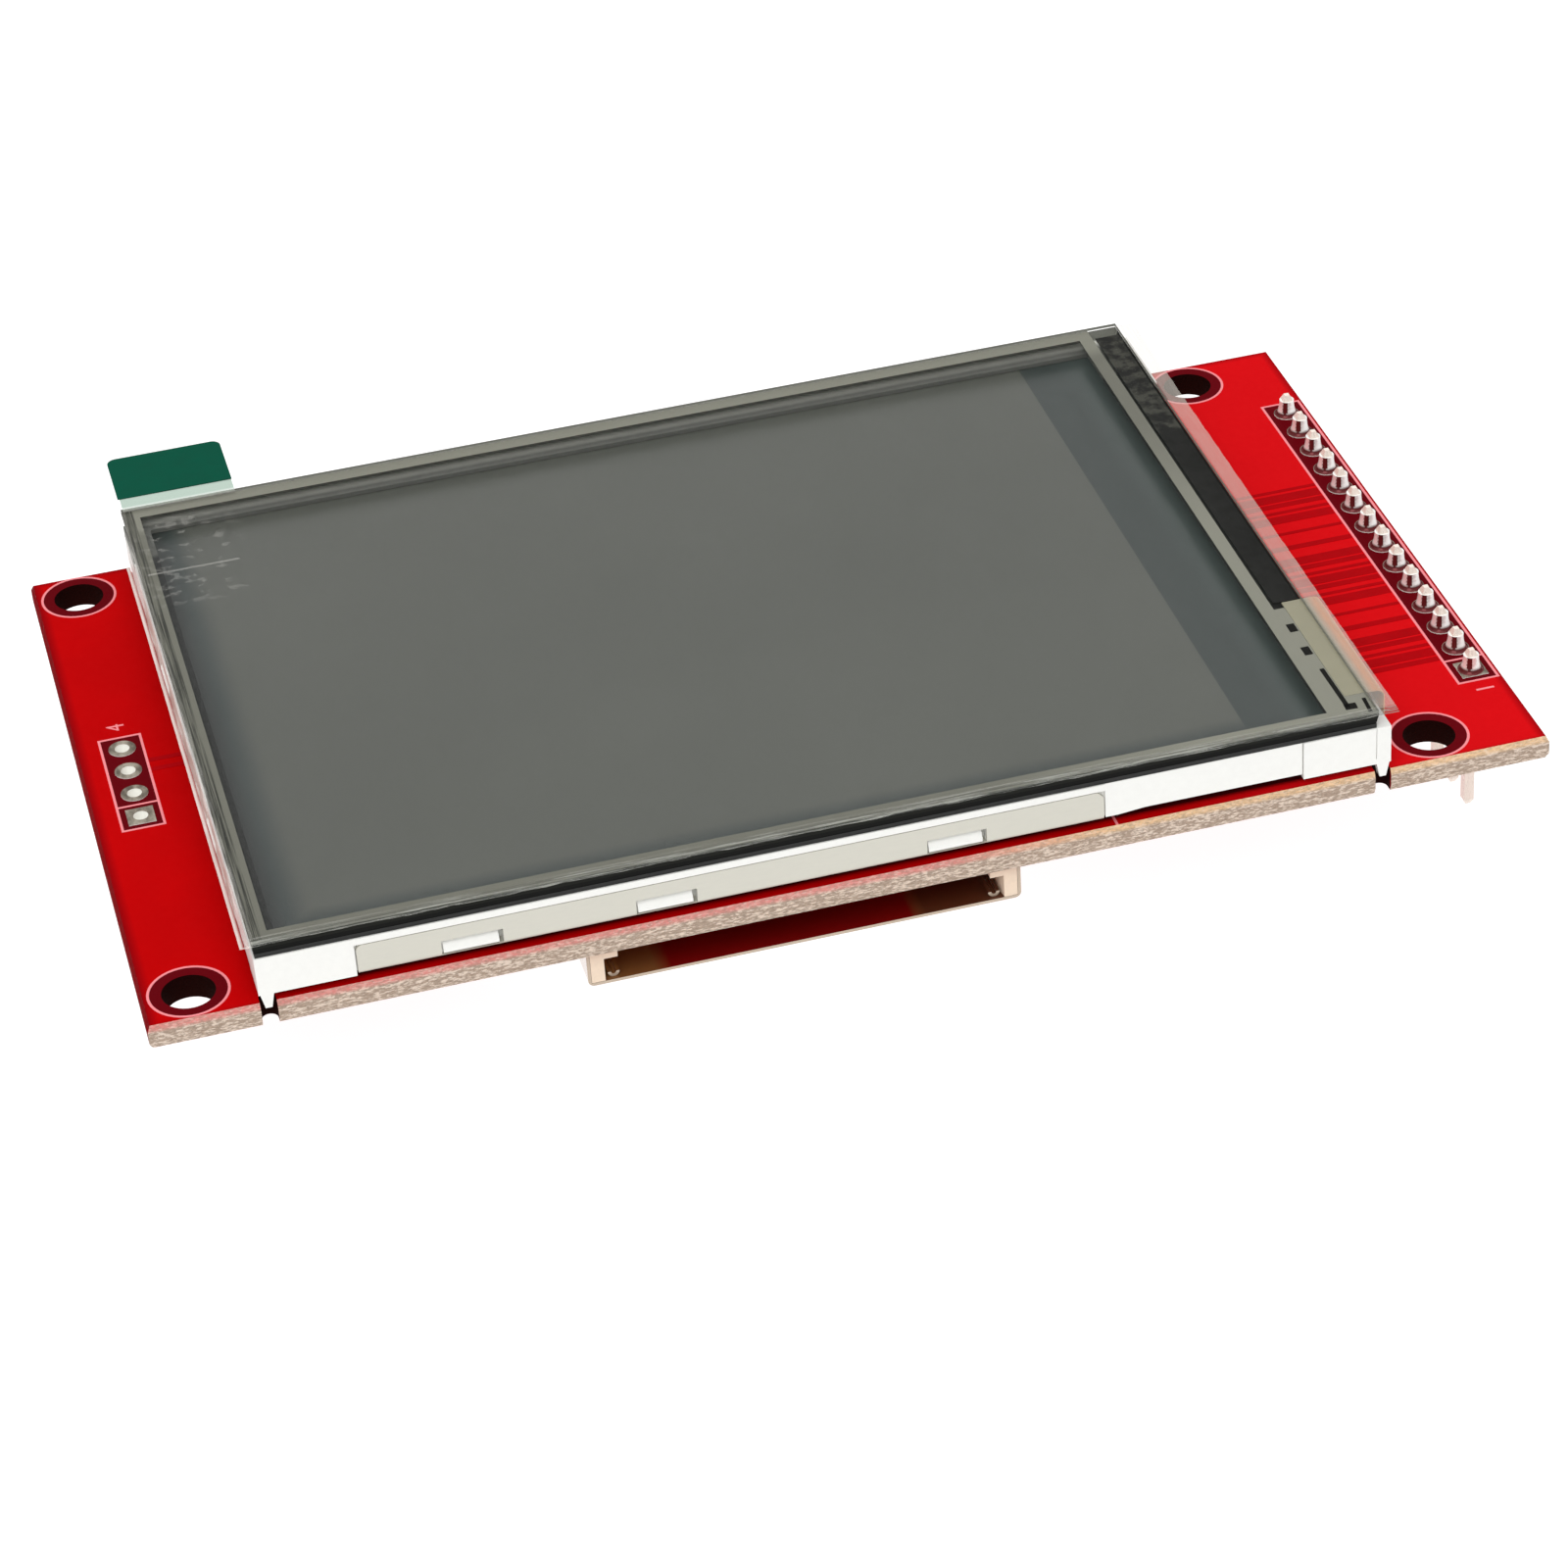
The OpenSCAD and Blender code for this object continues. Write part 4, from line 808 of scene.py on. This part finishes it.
class DISPLAYMODULE_OT_tracks(bpy.types.Operator):
    """Lay the copper tracks that show through the solder mask on both faces"""
    bl_idname = "display_module.tracks"
    bl_label = "Copper Tracks"

    def execute(self, context):
        look = context.scene.module_board
        rise = look.track_rise / MM
        copper = speckled("covered_copper", colour(168, 2, 10), 1.6, 0.78, (0.3, 0.5),
                          Specular_IOR_Level=look.gloss).material
        gap = 1.42  # from the middle of a row of pads to the end of a track
        left_start, right_start = -33.5, 31.5  # where the tracks come out from under the screen
        above = (BOARD_HIGH.z, BOARD_HIGH.z + rise)
        top = bmesh.new()
        for i in range(1, 10):
            for step, width in ((-0.75, 0.5), (0.1, 0.85), (0.95, 0.3)):
                if (i + round(step)) % 4 != 3:
                    y = PIN_YS[i] + step
                    ribbon(top, [(right_start, y), (PIN_X - gap, y)], width, *above)
        for step in (-0.3, 0.75):
            y = SERVICE_YS[2] + step
            ribbon(top, [(SERVICE_X + gap, y), (left_start, y)], 0.42, *above)
        piece_from(top, "tracks_above", copper)

        under = bmesh.new()
        below = (-rise, 0.0)
        contact_pitch = 2.5
        tail = extent("socket_contacts")[1].y
        for i in range(9):
            x = (SOCKET_LOW.x + SOCKET_HIGH.x) / 2 + (i - 4) * contact_pitch
            turn = tail + 2.4 + 0.9 * (8 - i)
            end = 17.6 + 0.35 * (i % 3)
            ribbon(under, [(x, tail - 0.6), (x, turn), (x + 0.8, turn + 0.8), (end, turn + 0.8)], 0.3,
                   *below)
            ring(under, end + 0.3, turn + 0.8, 0, 0.42, *below, 20)
        lead_right = extent("controller_leads")[1].x
        middle = (CONTROLLER_LOW.y + CONTROLLER_HIGH.y) / 2
        lead_pitch = 0.65
        for k in range(8):
            foot = middle + (k - 3.5) * lead_pitch
            pin = PIN_YS[4 + k]
            bend = 29.6 + 0.3 * (k if k < 6 else 7 - k)
            slant = abs(pin - foot)
            ribbon(under, [(lead_right - 0.3, foot), (bend, foot), (bend + slant * 0.7, pin),
                           (PIN_X - 0.8, pin)], 0.24, *below)
        for i in range(4):
            y = PIN_YS[i]
            ribbon(under, [(PIN_X - 0.8, y), (38.4 - i, y), (37.0 - i, y - 1.4), (24.0 - i, y - 1.4)],
                   0.6 if i < 2 else 0.3, *below)
            ring(under, 23.7 - i, y - 1.4, 0, 0.5, *below, 20)
        for i, y in enumerate(SERVICE_YS):
            start = SERVICE_X + i
            ribbon(under, [(SERVICE_X + 0.8, y), (start + 4, y), (start + 8, y + 4 + i), (-18.6, y + 4 + i)],
                   0.3, *below)
        piece_from(under, "tracks_below", copper)

        vias = bmesh.new()
        for x, y in ((18.0, 21.2), (20.6, 19.0), (-25.5, 18.5), (-22.0, -18.2), (14.8, -16.8), (36.0, 20.6),
                     (27.4, -20.4), (-19.4, 14.4), (37.2, -5.6), (16.6, -4.2)):
            ring(vias, x, y, 0.16, 0.36, *BELOW_INK, 24)
        tin = speckled("via_tin", colour(190, 150, 120), 0.2, 0.82, (0.3, 0.5), Metallic=1.0).material
        piece_from(vias, "vias", tin)
        return {"FINISHED"}


class DISPLAYMODULE_OT_numbers(bpy.types.Operator):
    """Print plain pin numbers and the outlines of the parts on both faces"""
    bl_idname = "display_module.numbers"
    bl_label = "Pin Numbers and Outlines"

    def execute(self, context):
        look = context.scene.module_board
        ink = speckled("number_ink", look.ink, 0.12, 0.86, (0.5, 0.7), rise=0.01).material
        above = bmesh.new()
        for text, x, y, height in (("1", PIN_X + 0.1, PIN_YS[0] - 2.3, 1.7),
                                   ("4", SERVICE_X, SERVICE_YS[-1] + 2.5, 1.6)):
            number_plate(above, text, x, y, height, math.radians(90), *ABOVE_INK)
        piece_from(above, "numbers_above", ink)

        below = bmesh.new()
        for x, ys in ((PIN_X - 2.6, PIN_YS), (SERVICE_X - 2.1, SERVICE_YS)):
            for i, y in enumerate(ys):
                number_plate(below, str(i + 1), x, y, 1.3, 0, *BELOW_INK, from_below=True)
        for x, ys, reach in ((PIN_X, PIN_YS, 1.45), (SERVICE_X, SERVICE_YS, 1.37)):
            box_outline(below, x - reach, ys[0] - reach, x + reach, ys[-1] + reach, 0.18, *BELOW_INK)
        for node, gap_x, gap_y in (("regulator_leads", 0.4, 1.0), ("switch_leads", 0.4, 1.0),
                                   ("touch_controller", 0.35, 0.5)):
            low, high = extent(node)
            box_outline(below, low.x - gap_x, low.y - gap_y, high.x + gap_x, high.y + gap_y, 0.15,
                        *BELOW_INK)
        ring(below, CONTROLLER_LOW.x - 1.6, CONTROLLER_LOW.y - 0.5, 0, 0.3, *BELOW_INK, 24)
        back = SOCKET_HIGH.y + 0.4
        for x, inward in ((SOCKET_LOW.x, 1), (SOCKET_HIGH.x, -1)):
            out = x - 0.6 * inward
            ribbon(below, [(out, BOARD_LOW.y + 1.4), (out, back), (x + 1.6 * inward, back)], 0.15,
                   *BELOW_INK)
        for x in (-HOLE_X, HOLE_X):
            for y in (-HOLE_Y, HOLE_Y):
                ring(below, x, y, RING_RADIUS, RING_RADIUS + 0.15, *BELOW_INK, 48)
        piece_from(below, "numbers_below", ink)
        return {"FINISHED"}


class DISPLAYMODULE_OT_header(bpy.types.Operator):
    """Finish the header pins, their black strip and the solder round them"""
    bl_idname = "display_module.header"
    bl_label = "Pin Header"

    def execute(self, context):
        dress("header_strip", "black_nylon", colour(30, 30, 31), 0.25, 0.7, (0.42, 0.6), rise=0.012)
        dress("header_pins", "pin_plating", colour(246, 234, 222), 0.3, 0.92, (0.2, 0.36),
              stretch=(1, 1, 6), rise=0.001, Metallic=0.2)
        wear("solder_joints", solder_finish(context.scene.module_shell.tin))
        return {"FINISHED"}


class DISPLAYMODULE_OT_backlight(bpy.types.Operator):
    """Finish the steel tray, the white frame and the sheets, light guide and diodes inside"""
    bl_idname = "display_module.backlight"
    bl_label = "Backlight"

    def execute(self, context):
        look = context.scene.module_shell
        dress("backlight_tray", "tray_steel", look.steel, 0.18, 0.93, (0.42, 0.56), stretch=(4, 4, 1),
              rise=0.003, Metallic=0.45)
        plastic = speckled("white_polycarbonate", look.plastic, 0.5, 0.95, (0.36, 0.5), rise=0.006)
        # Painted shade: the white frame is dark grey where it lies under the back of the panel.
        painted_shade_under_panel = plastic.region(x=(FRAME_LOW.x, GLASS_HIGH.x), y=(20, FRAME_HIGH.y - 0.02),
                                     z=(4, FAR), steepness=30)
        plastic.feed("Base Color", plastic.mix(painted_shade_under_panel, plastic.paint, colour(86, 88, 82)))
        wear("backlight_frame", plastic.material)
        dress("mounting_tape", "foam_tape", colour(228, 226, 218), 0.16, 0.7, (0.8, 0.95), rise=0.05)
        dress("reflector_sheet", "reflector", colour(246, 246, 246), 0.6, 0.96, (0.2, 0.35))
        dress("light_guide", "light_guide", colour(226, 238, 240), 0.4, 0.92, (0.05, 0.15))
        for node, stretch in (("diffuser_sheet", (1, 40, 1)), ("lower_prism_sheet", (40, 1, 1)),
                              ("upper_prism_sheet", (1, 40, 1))):
            dress(node, "sheet_" + node, colour(232, 234, 232), 0.08, 0.9, (0.3, 0.5), stretch=stretch)
        wear("light_strip", flex_finish("lamp_flex", colour(206, 128, 60)))
        dress("light_diodes", "diode_body", colour(248, 240, 205), 0.3, 0.9, (0.3, 0.5))
        dress("rim_tape", "rim_tape", colour(22, 22, 23), 0.3, 0.7, (0.5, 0.7))
        return {"FINISHED"}


class DISPLAYMODULE_OT_screen(bpy.types.Operator):
    """Finish the glass cell, its polarisers, its driver chip and its flexible circuit"""
    bl_idname = "display_module.screen"
    bl_label = "Screen"

    def execute(self, context):
        wear("front_polariser", screen_finish(context.scene.module_screen))
        dress("rear_polariser", "rear_film", colour(64, 68, 68), 0.5, 0.8, (0.3, 0.4))
        dress("rear_glass front_glass", "cell_glass", colour(44, 52, 50), 0.8, 0.85, (0.06, 0.14))
        dress("driver_chip", "silicon", colour(48, 48, 54), 0.3, 0.8, (0.12, 0.25))
        low, high = extent("display_flex")
        wear("display_flex", flex_finish("display_flex", context.scene.module_shell.amber,
                                         {"x": (low.x, high.x - 1.0), "z": (4, FAR)},
                                         colour(120, 112, 84)))
        return {"FINISHED"}


class DISPLAYMODULE_OT_touch_panel(bpy.types.Operator):
    """Finish the touch panel and draw the printed marks at its end"""
    bl_idname = "display_module.touch_panel"
    bl_label = "Touch Panel"

    def execute(self, context):
        look = context.scene.module_screen
        wear("touch_tape", tape_finish())
        wear("touch_spacer", border_finish(look))
        wear("touch_edge_strip", strip_finish(look))
        right = extent("touch_flex")[1].x
        wear("touch_flex", flex_finish("touch_flex", context.scene.module_shell.amber,
                                       {"x": (-FAR, right - 0.9), "z": (5.3, FAR)},
                                       colour(138, 134, 110), 0.0))
        glass = clear_finish("panel_glass", colour(150, 160, 155), colour(14, 15, 13),
                             colour(28, 29, 25), (GLASS_LOW.z + GLASS_HIGH.z) / 2, 0.012, gloss=0.06)
        clear_skin("touch_glass", "panel_glass", glass)
        film = clear_finish("panel_film", colour(168, 170, 160), colour(70, 72, 64),
                            colour(132, 133, 122), PANEL_LOW.z, 0.008, rough=0.16, gloss=0.25)
        clear_skin("touch_film", "panel_film", film)
        marks = bmesh.new()
        right, front = PANEL_HIGH.x, PANEL_LOW.y
        for x0, y0, x1, y1, width in ((1.66, 10.05, 1.66, 10.95, 0.52), (1.7, 7.35, 1.7, 8.25, 0.52),
                                      (1.55, 5.65, 1.5, 1.2, 0.3), (1.7, 1.3, 0.95, 1.25, 0.62),
                                      (0.3, 1.85, 0.4, 0.3, 0.24)):
            ribbon(marks, [(right - x0, front + y0), (right - x1, front + y1)], width, SPACER_TOP,
                   SPACER_TOP + 0.012)
        dark = speckled("mark_ink", colour(8, 8, 6), 0.2, 0.7, (0.5, 0.6), Specular_IOR_Level=0.05)
        piece_from(marks, "panel_marks", dark.material)
        return {"FINISHED"}


class DISPLAYMODULE_OT_film(bpy.types.Operator):
    """Lay the protective film over the screen, with soft waves and hanging edges, and its green tab"""
    bl_idname = "display_module.film"
    bl_label = "Protective Film"

    def execute(self, context):
        look = context.scene.module_film
        wave = look.wave / MM
        droop = look.droop / MM
        step = 0.36  # between two rows of corners
        hover = 0.045  # of the film above the panel
        rim = 3.0  # width of the free edge that waves
        tongue = extent("pull_tab")[1].x
        back = PANEL_HIGH.y
        sheet = bmesh.new()
        columns = 170
        rows = int((FILM_HIGH.y - FILM_LOW.y) / step)
        grid = {}
        for j in range(rows + 1):
            y = FILM_LOW.y + (FILM_HIGH.y - 0.05 - FILM_LOW.y) * j / rows
            for i in range(columns + 1):
                x = FILM_LOW.x + (FILM_HIGH.x - FILM_LOW.x) * i / columns
                if y > back and (x > tongue or x < PANEL_LOW.x):
                    continue
                over = max(0.0, PANEL_LOW.x + 0.1 - x, x - PANEL_HIGH.x, PANEL_LOW.y + 0.1 - y)
                near = max(0.0, 1 - min(x - FILM_LOW.x, FILM_HIGH.x - x, y - FILM_LOW.y) / rim)
                ripple = noise.noise(Vector((x * 0.35, y * 0.35, 0.3)))
                fold = noise.noise(Vector((x * 0.9, y * 0.9, 4.1)))
                lift = wave * (0.6 + 0.4 * ripple) * near + 0.3 * wave * max(0.0, fold) * near
                hang = droop * min(1.0, over / 0.5) ** 2 * (0.7 + 0.5 * fold)
                grid[i, j] = sheet.verts.new((x, y, PANEL_HIGH.z + hover + lift - hang))
        for (i, j), corner in grid.items():
            others = [grid.get(key) for key in ((i + 1, j), (i + 1, j + 1), (i, j + 1))]
            if all(others):
                sheet.faces.new((corner, *others))
        film = piece_from(sheet, "protective_film", sheet_finish(look), smooth=True)
        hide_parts("cover_film")
        dress("pull_tab", "green_tab", look.tab, 1.2, 0.86, (0.34, 0.46), rise=0.01,
              Specular_IOR_Level=0.03)
        return {"FINISHED"}


class DISPLAYMODULE_OT_socket(bpy.types.Operator):
    """Finish the card socket: cream base, steel shell and gold contacts"""
    bl_idname = "display_module.socket"
    bl_label = "Card Socket"

    def execute(self, context):
        look = context.scene.module_shell
        dress("socket_base", "cream_nylon", look.socket, 0.3, 0.9, (0.4, 0.55), rise=0.01)
        wear("socket_shell", shell_finish(look))
        dress("socket_contacts", "contact_gold", colour(226, 186, 108), 0.3, 0.82, (0.18, 0.3),
              Metallic=1.0)
        return {"FINISHED"}


class DISPLAYMODULE_OT_chips(bpy.types.Operator):
    """Finish the controller, the small chips, resistors and capacitors"""
    bl_idname = "display_module.chips"
    bl_label = "Chips"

    def execute(self, context):
        dress("touch_controller regulator backlight_switch", "moulded_epoxy", colour(36, 37, 39), 0.14,
              0.72, (0.5, 0.68), rise=0.014)
        dress("controller_leads regulator_leads switch_leads end_caps", "lead_tin",
              context.scene.module_shell.tin, 0.3, 0.82, (0.22, 0.4), Metallic=1.0)
        dress("resistors", "resistor_glaze", colour(26, 27, 30), 0.25, 0.7, (0.2, 0.36))
        dress("capacitors", "capacitor_ceramic", colour(176, 140, 98), 0.2, 0.84, (0.4, 0.55))
        return {"FINISHED"}


class DISPLAYMODULE_OT_studio(bpy.types.Operator):
    """Set up the pale floor, the soft light and the camera"""
    bl_idname = "display_module.studio"
    bl_label = "Studio"

    def execute(self, context):
        look = context.scene.module_studio
        scene = context.scene
        floor_reach, floor_gap = 1500, 0.02
        floor = bmesh.new()
        bmesh.ops.create_grid(floor, x_segments=24, y_segments=24, size=floor_reach)
        bmesh.ops.translate(floor, vec=(0, 0, PINS_LOW.z - floor_gap), verts=floor.verts)
        bmesh.ops.scale(floor, vec=(MM, MM, MM), verts=floor.verts)
        data = bpy.data.meshes.new("floor")
        floor.to_mesh(data)
        floor.free()
        paper = speckled("light_table", look.floor, 40.0, 0.985, (0.7, 0.8), rise=0.0,
                         Emission_Color=(1, 1, 1, 1), Emission_Strength=look.glow)
        data.materials.append(paper.material)
        ground = bpy.data.objects.new("floor", data)
        scene.collection.objects.link(ground)

        world = bpy.data.worlds.new("studio")
        world.use_nodes = True
        tree = world.node_tree
        shade = tree.nodes["Background"]
        shade.inputs["Strength"].default_value = look.sky
        place = tree.nodes.new("ShaderNodeTexCoord")
        parts = put(tree, "SeparateXYZ", None, place.outputs["Generated"])
        ramp = tree.nodes.new("ShaderNodeValToRGB")
        bands = ramp.color_ramp.elements
        bands[0].position = 0.0
        bands[1].position = 0.6
        for position, value in ((0.04, 0.12), (0.22, 0.12), (0.34, 0.94)):
            bands.new(position).color = (value, value, value, 1)
        bands[0].color = (0.7, 0.7, 0.7, 1)
        bands[len(bands) - 1].color = (1, 1, 1, 1)
        tree.links.new(parts.outputs[2], ramp.inputs[0])
        tree.links.new(ramp.outputs[0], shade.inputs["Color"])
        scene.world = world
        scene.view_settings.view_transform = "Standard"

        for name, place_mm, width, power in (("key_light", (-260, -420, 620), 480, look.key),
                                             ("back_light", (120, 180, 760), 420, look.key * 0.5)):
            lamp = bpy.data.lights.new(name, "AREA")
            lamp.shape = "SQUARE"
            lamp.size = width * MM
            lamp.energy = power
            holder = bpy.data.objects.new(name, lamp)
            holder.location = Vector(place_mm) * MM
            holder.rotation_euler = (-holder.location).to_track_quat("-Z", "Y").to_euler()
            scene.collection.objects.link(holder)

        lens = bpy.data.cameras.new("camera")
        lens.lens = look.lens
        lens.sensor_width = 36
        lens.clip_start = 0.01
        camera = bpy.data.objects.new("camera", lens)
        target = Vector((0.32, -11.71, 0)) * MM
        direction = Vector((math.cos(look.elevation) * math.cos(look.azimuth),
                            math.cos(look.elevation) * math.sin(look.azimuth), math.sin(look.elevation)))
        camera.location = target + direction * look.distance
        aim = (-direction).to_track_quat("-Z", "Y").to_matrix().to_4x4()
        camera.matrix_world = (Matrix.Translation(camera.location) @ aim
                               @ Matrix.Rotation(look.roll, 4, "Z"))
        scene.collection.objects.link(camera)
        scene.camera = camera
        return {"FINISHED"}


PIECES = (DISPLAYMODULE_OT_board, DISPLAYMODULE_OT_tracks, DISPLAYMODULE_OT_numbers,
          DISPLAYMODULE_OT_header, DISPLAYMODULE_OT_backlight, DISPLAYMODULE_OT_screen,
          DISPLAYMODULE_OT_touch_panel, DISPLAYMODULE_OT_film, DISPLAYMODULE_OT_socket,
          DISPLAYMODULE_OT_chips, DISPLAYMODULE_OT_studio)
LOOKS = (("module_board", BoardLook), ("module_screen", ScreenLook), ("module_film", FilmLook),
         ("module_shell", ShellLook), ("module_studio", StudioLook))


class DISPLAYMODULE_PT_pieces(bpy.types.Panel):
    """Lists the pieces of the display module and their sizes and colours"""
    bl_idname = "DISPLAYMODULE_PT_pieces"
    bl_label = "Display Module"
    bl_space_type = "VIEW_3D"
    bl_region_type = "UI"
    bl_category = "Display Module"

    def draw(self, context):
        for piece in PIECES:
            self.layout.operator(piece.bl_idname)
        for label, look in LOOKS:
            column = self.layout.box().column()
            settings = getattr(context.scene, label)
            for entry in look.__annotations__:
                column.prop(settings, entry)


def register():
    for label, look in LOOKS:
        bpy.utils.register_class(look)
        setattr(bpy.types.Scene, label, bpy.props.PointerProperty(type=look))
    for piece in PIECES:
        bpy.utils.register_class(piece)
    bpy.utils.register_class(DISPLAYMODULE_PT_pieces)


def unregister():
    bpy.utils.unregister_class(DISPLAYMODULE_PT_pieces)
    for piece in reversed(PIECES):
        bpy.utils.unregister_class(piece)
    for label, look in reversed(LOOKS):
        delattr(bpy.types.Scene, label)
        bpy.utils.unregister_class(look)


def main():
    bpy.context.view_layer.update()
    register()
    build_groups()
    bpy.ops.display_module.board()
    bpy.ops.display_module.tracks()
    bpy.ops.display_module.numbers()
    bpy.ops.display_module.header()
    bpy.ops.display_module.backlight()
    bpy.ops.display_module.screen()
    bpy.ops.display_module.touch_panel()
    bpy.ops.display_module.film()
    bpy.ops.display_module.socket()
    bpy.ops.display_module.chips()
    bpy.ops.display_module.studio()


if __name__ == "__main__":
    main()
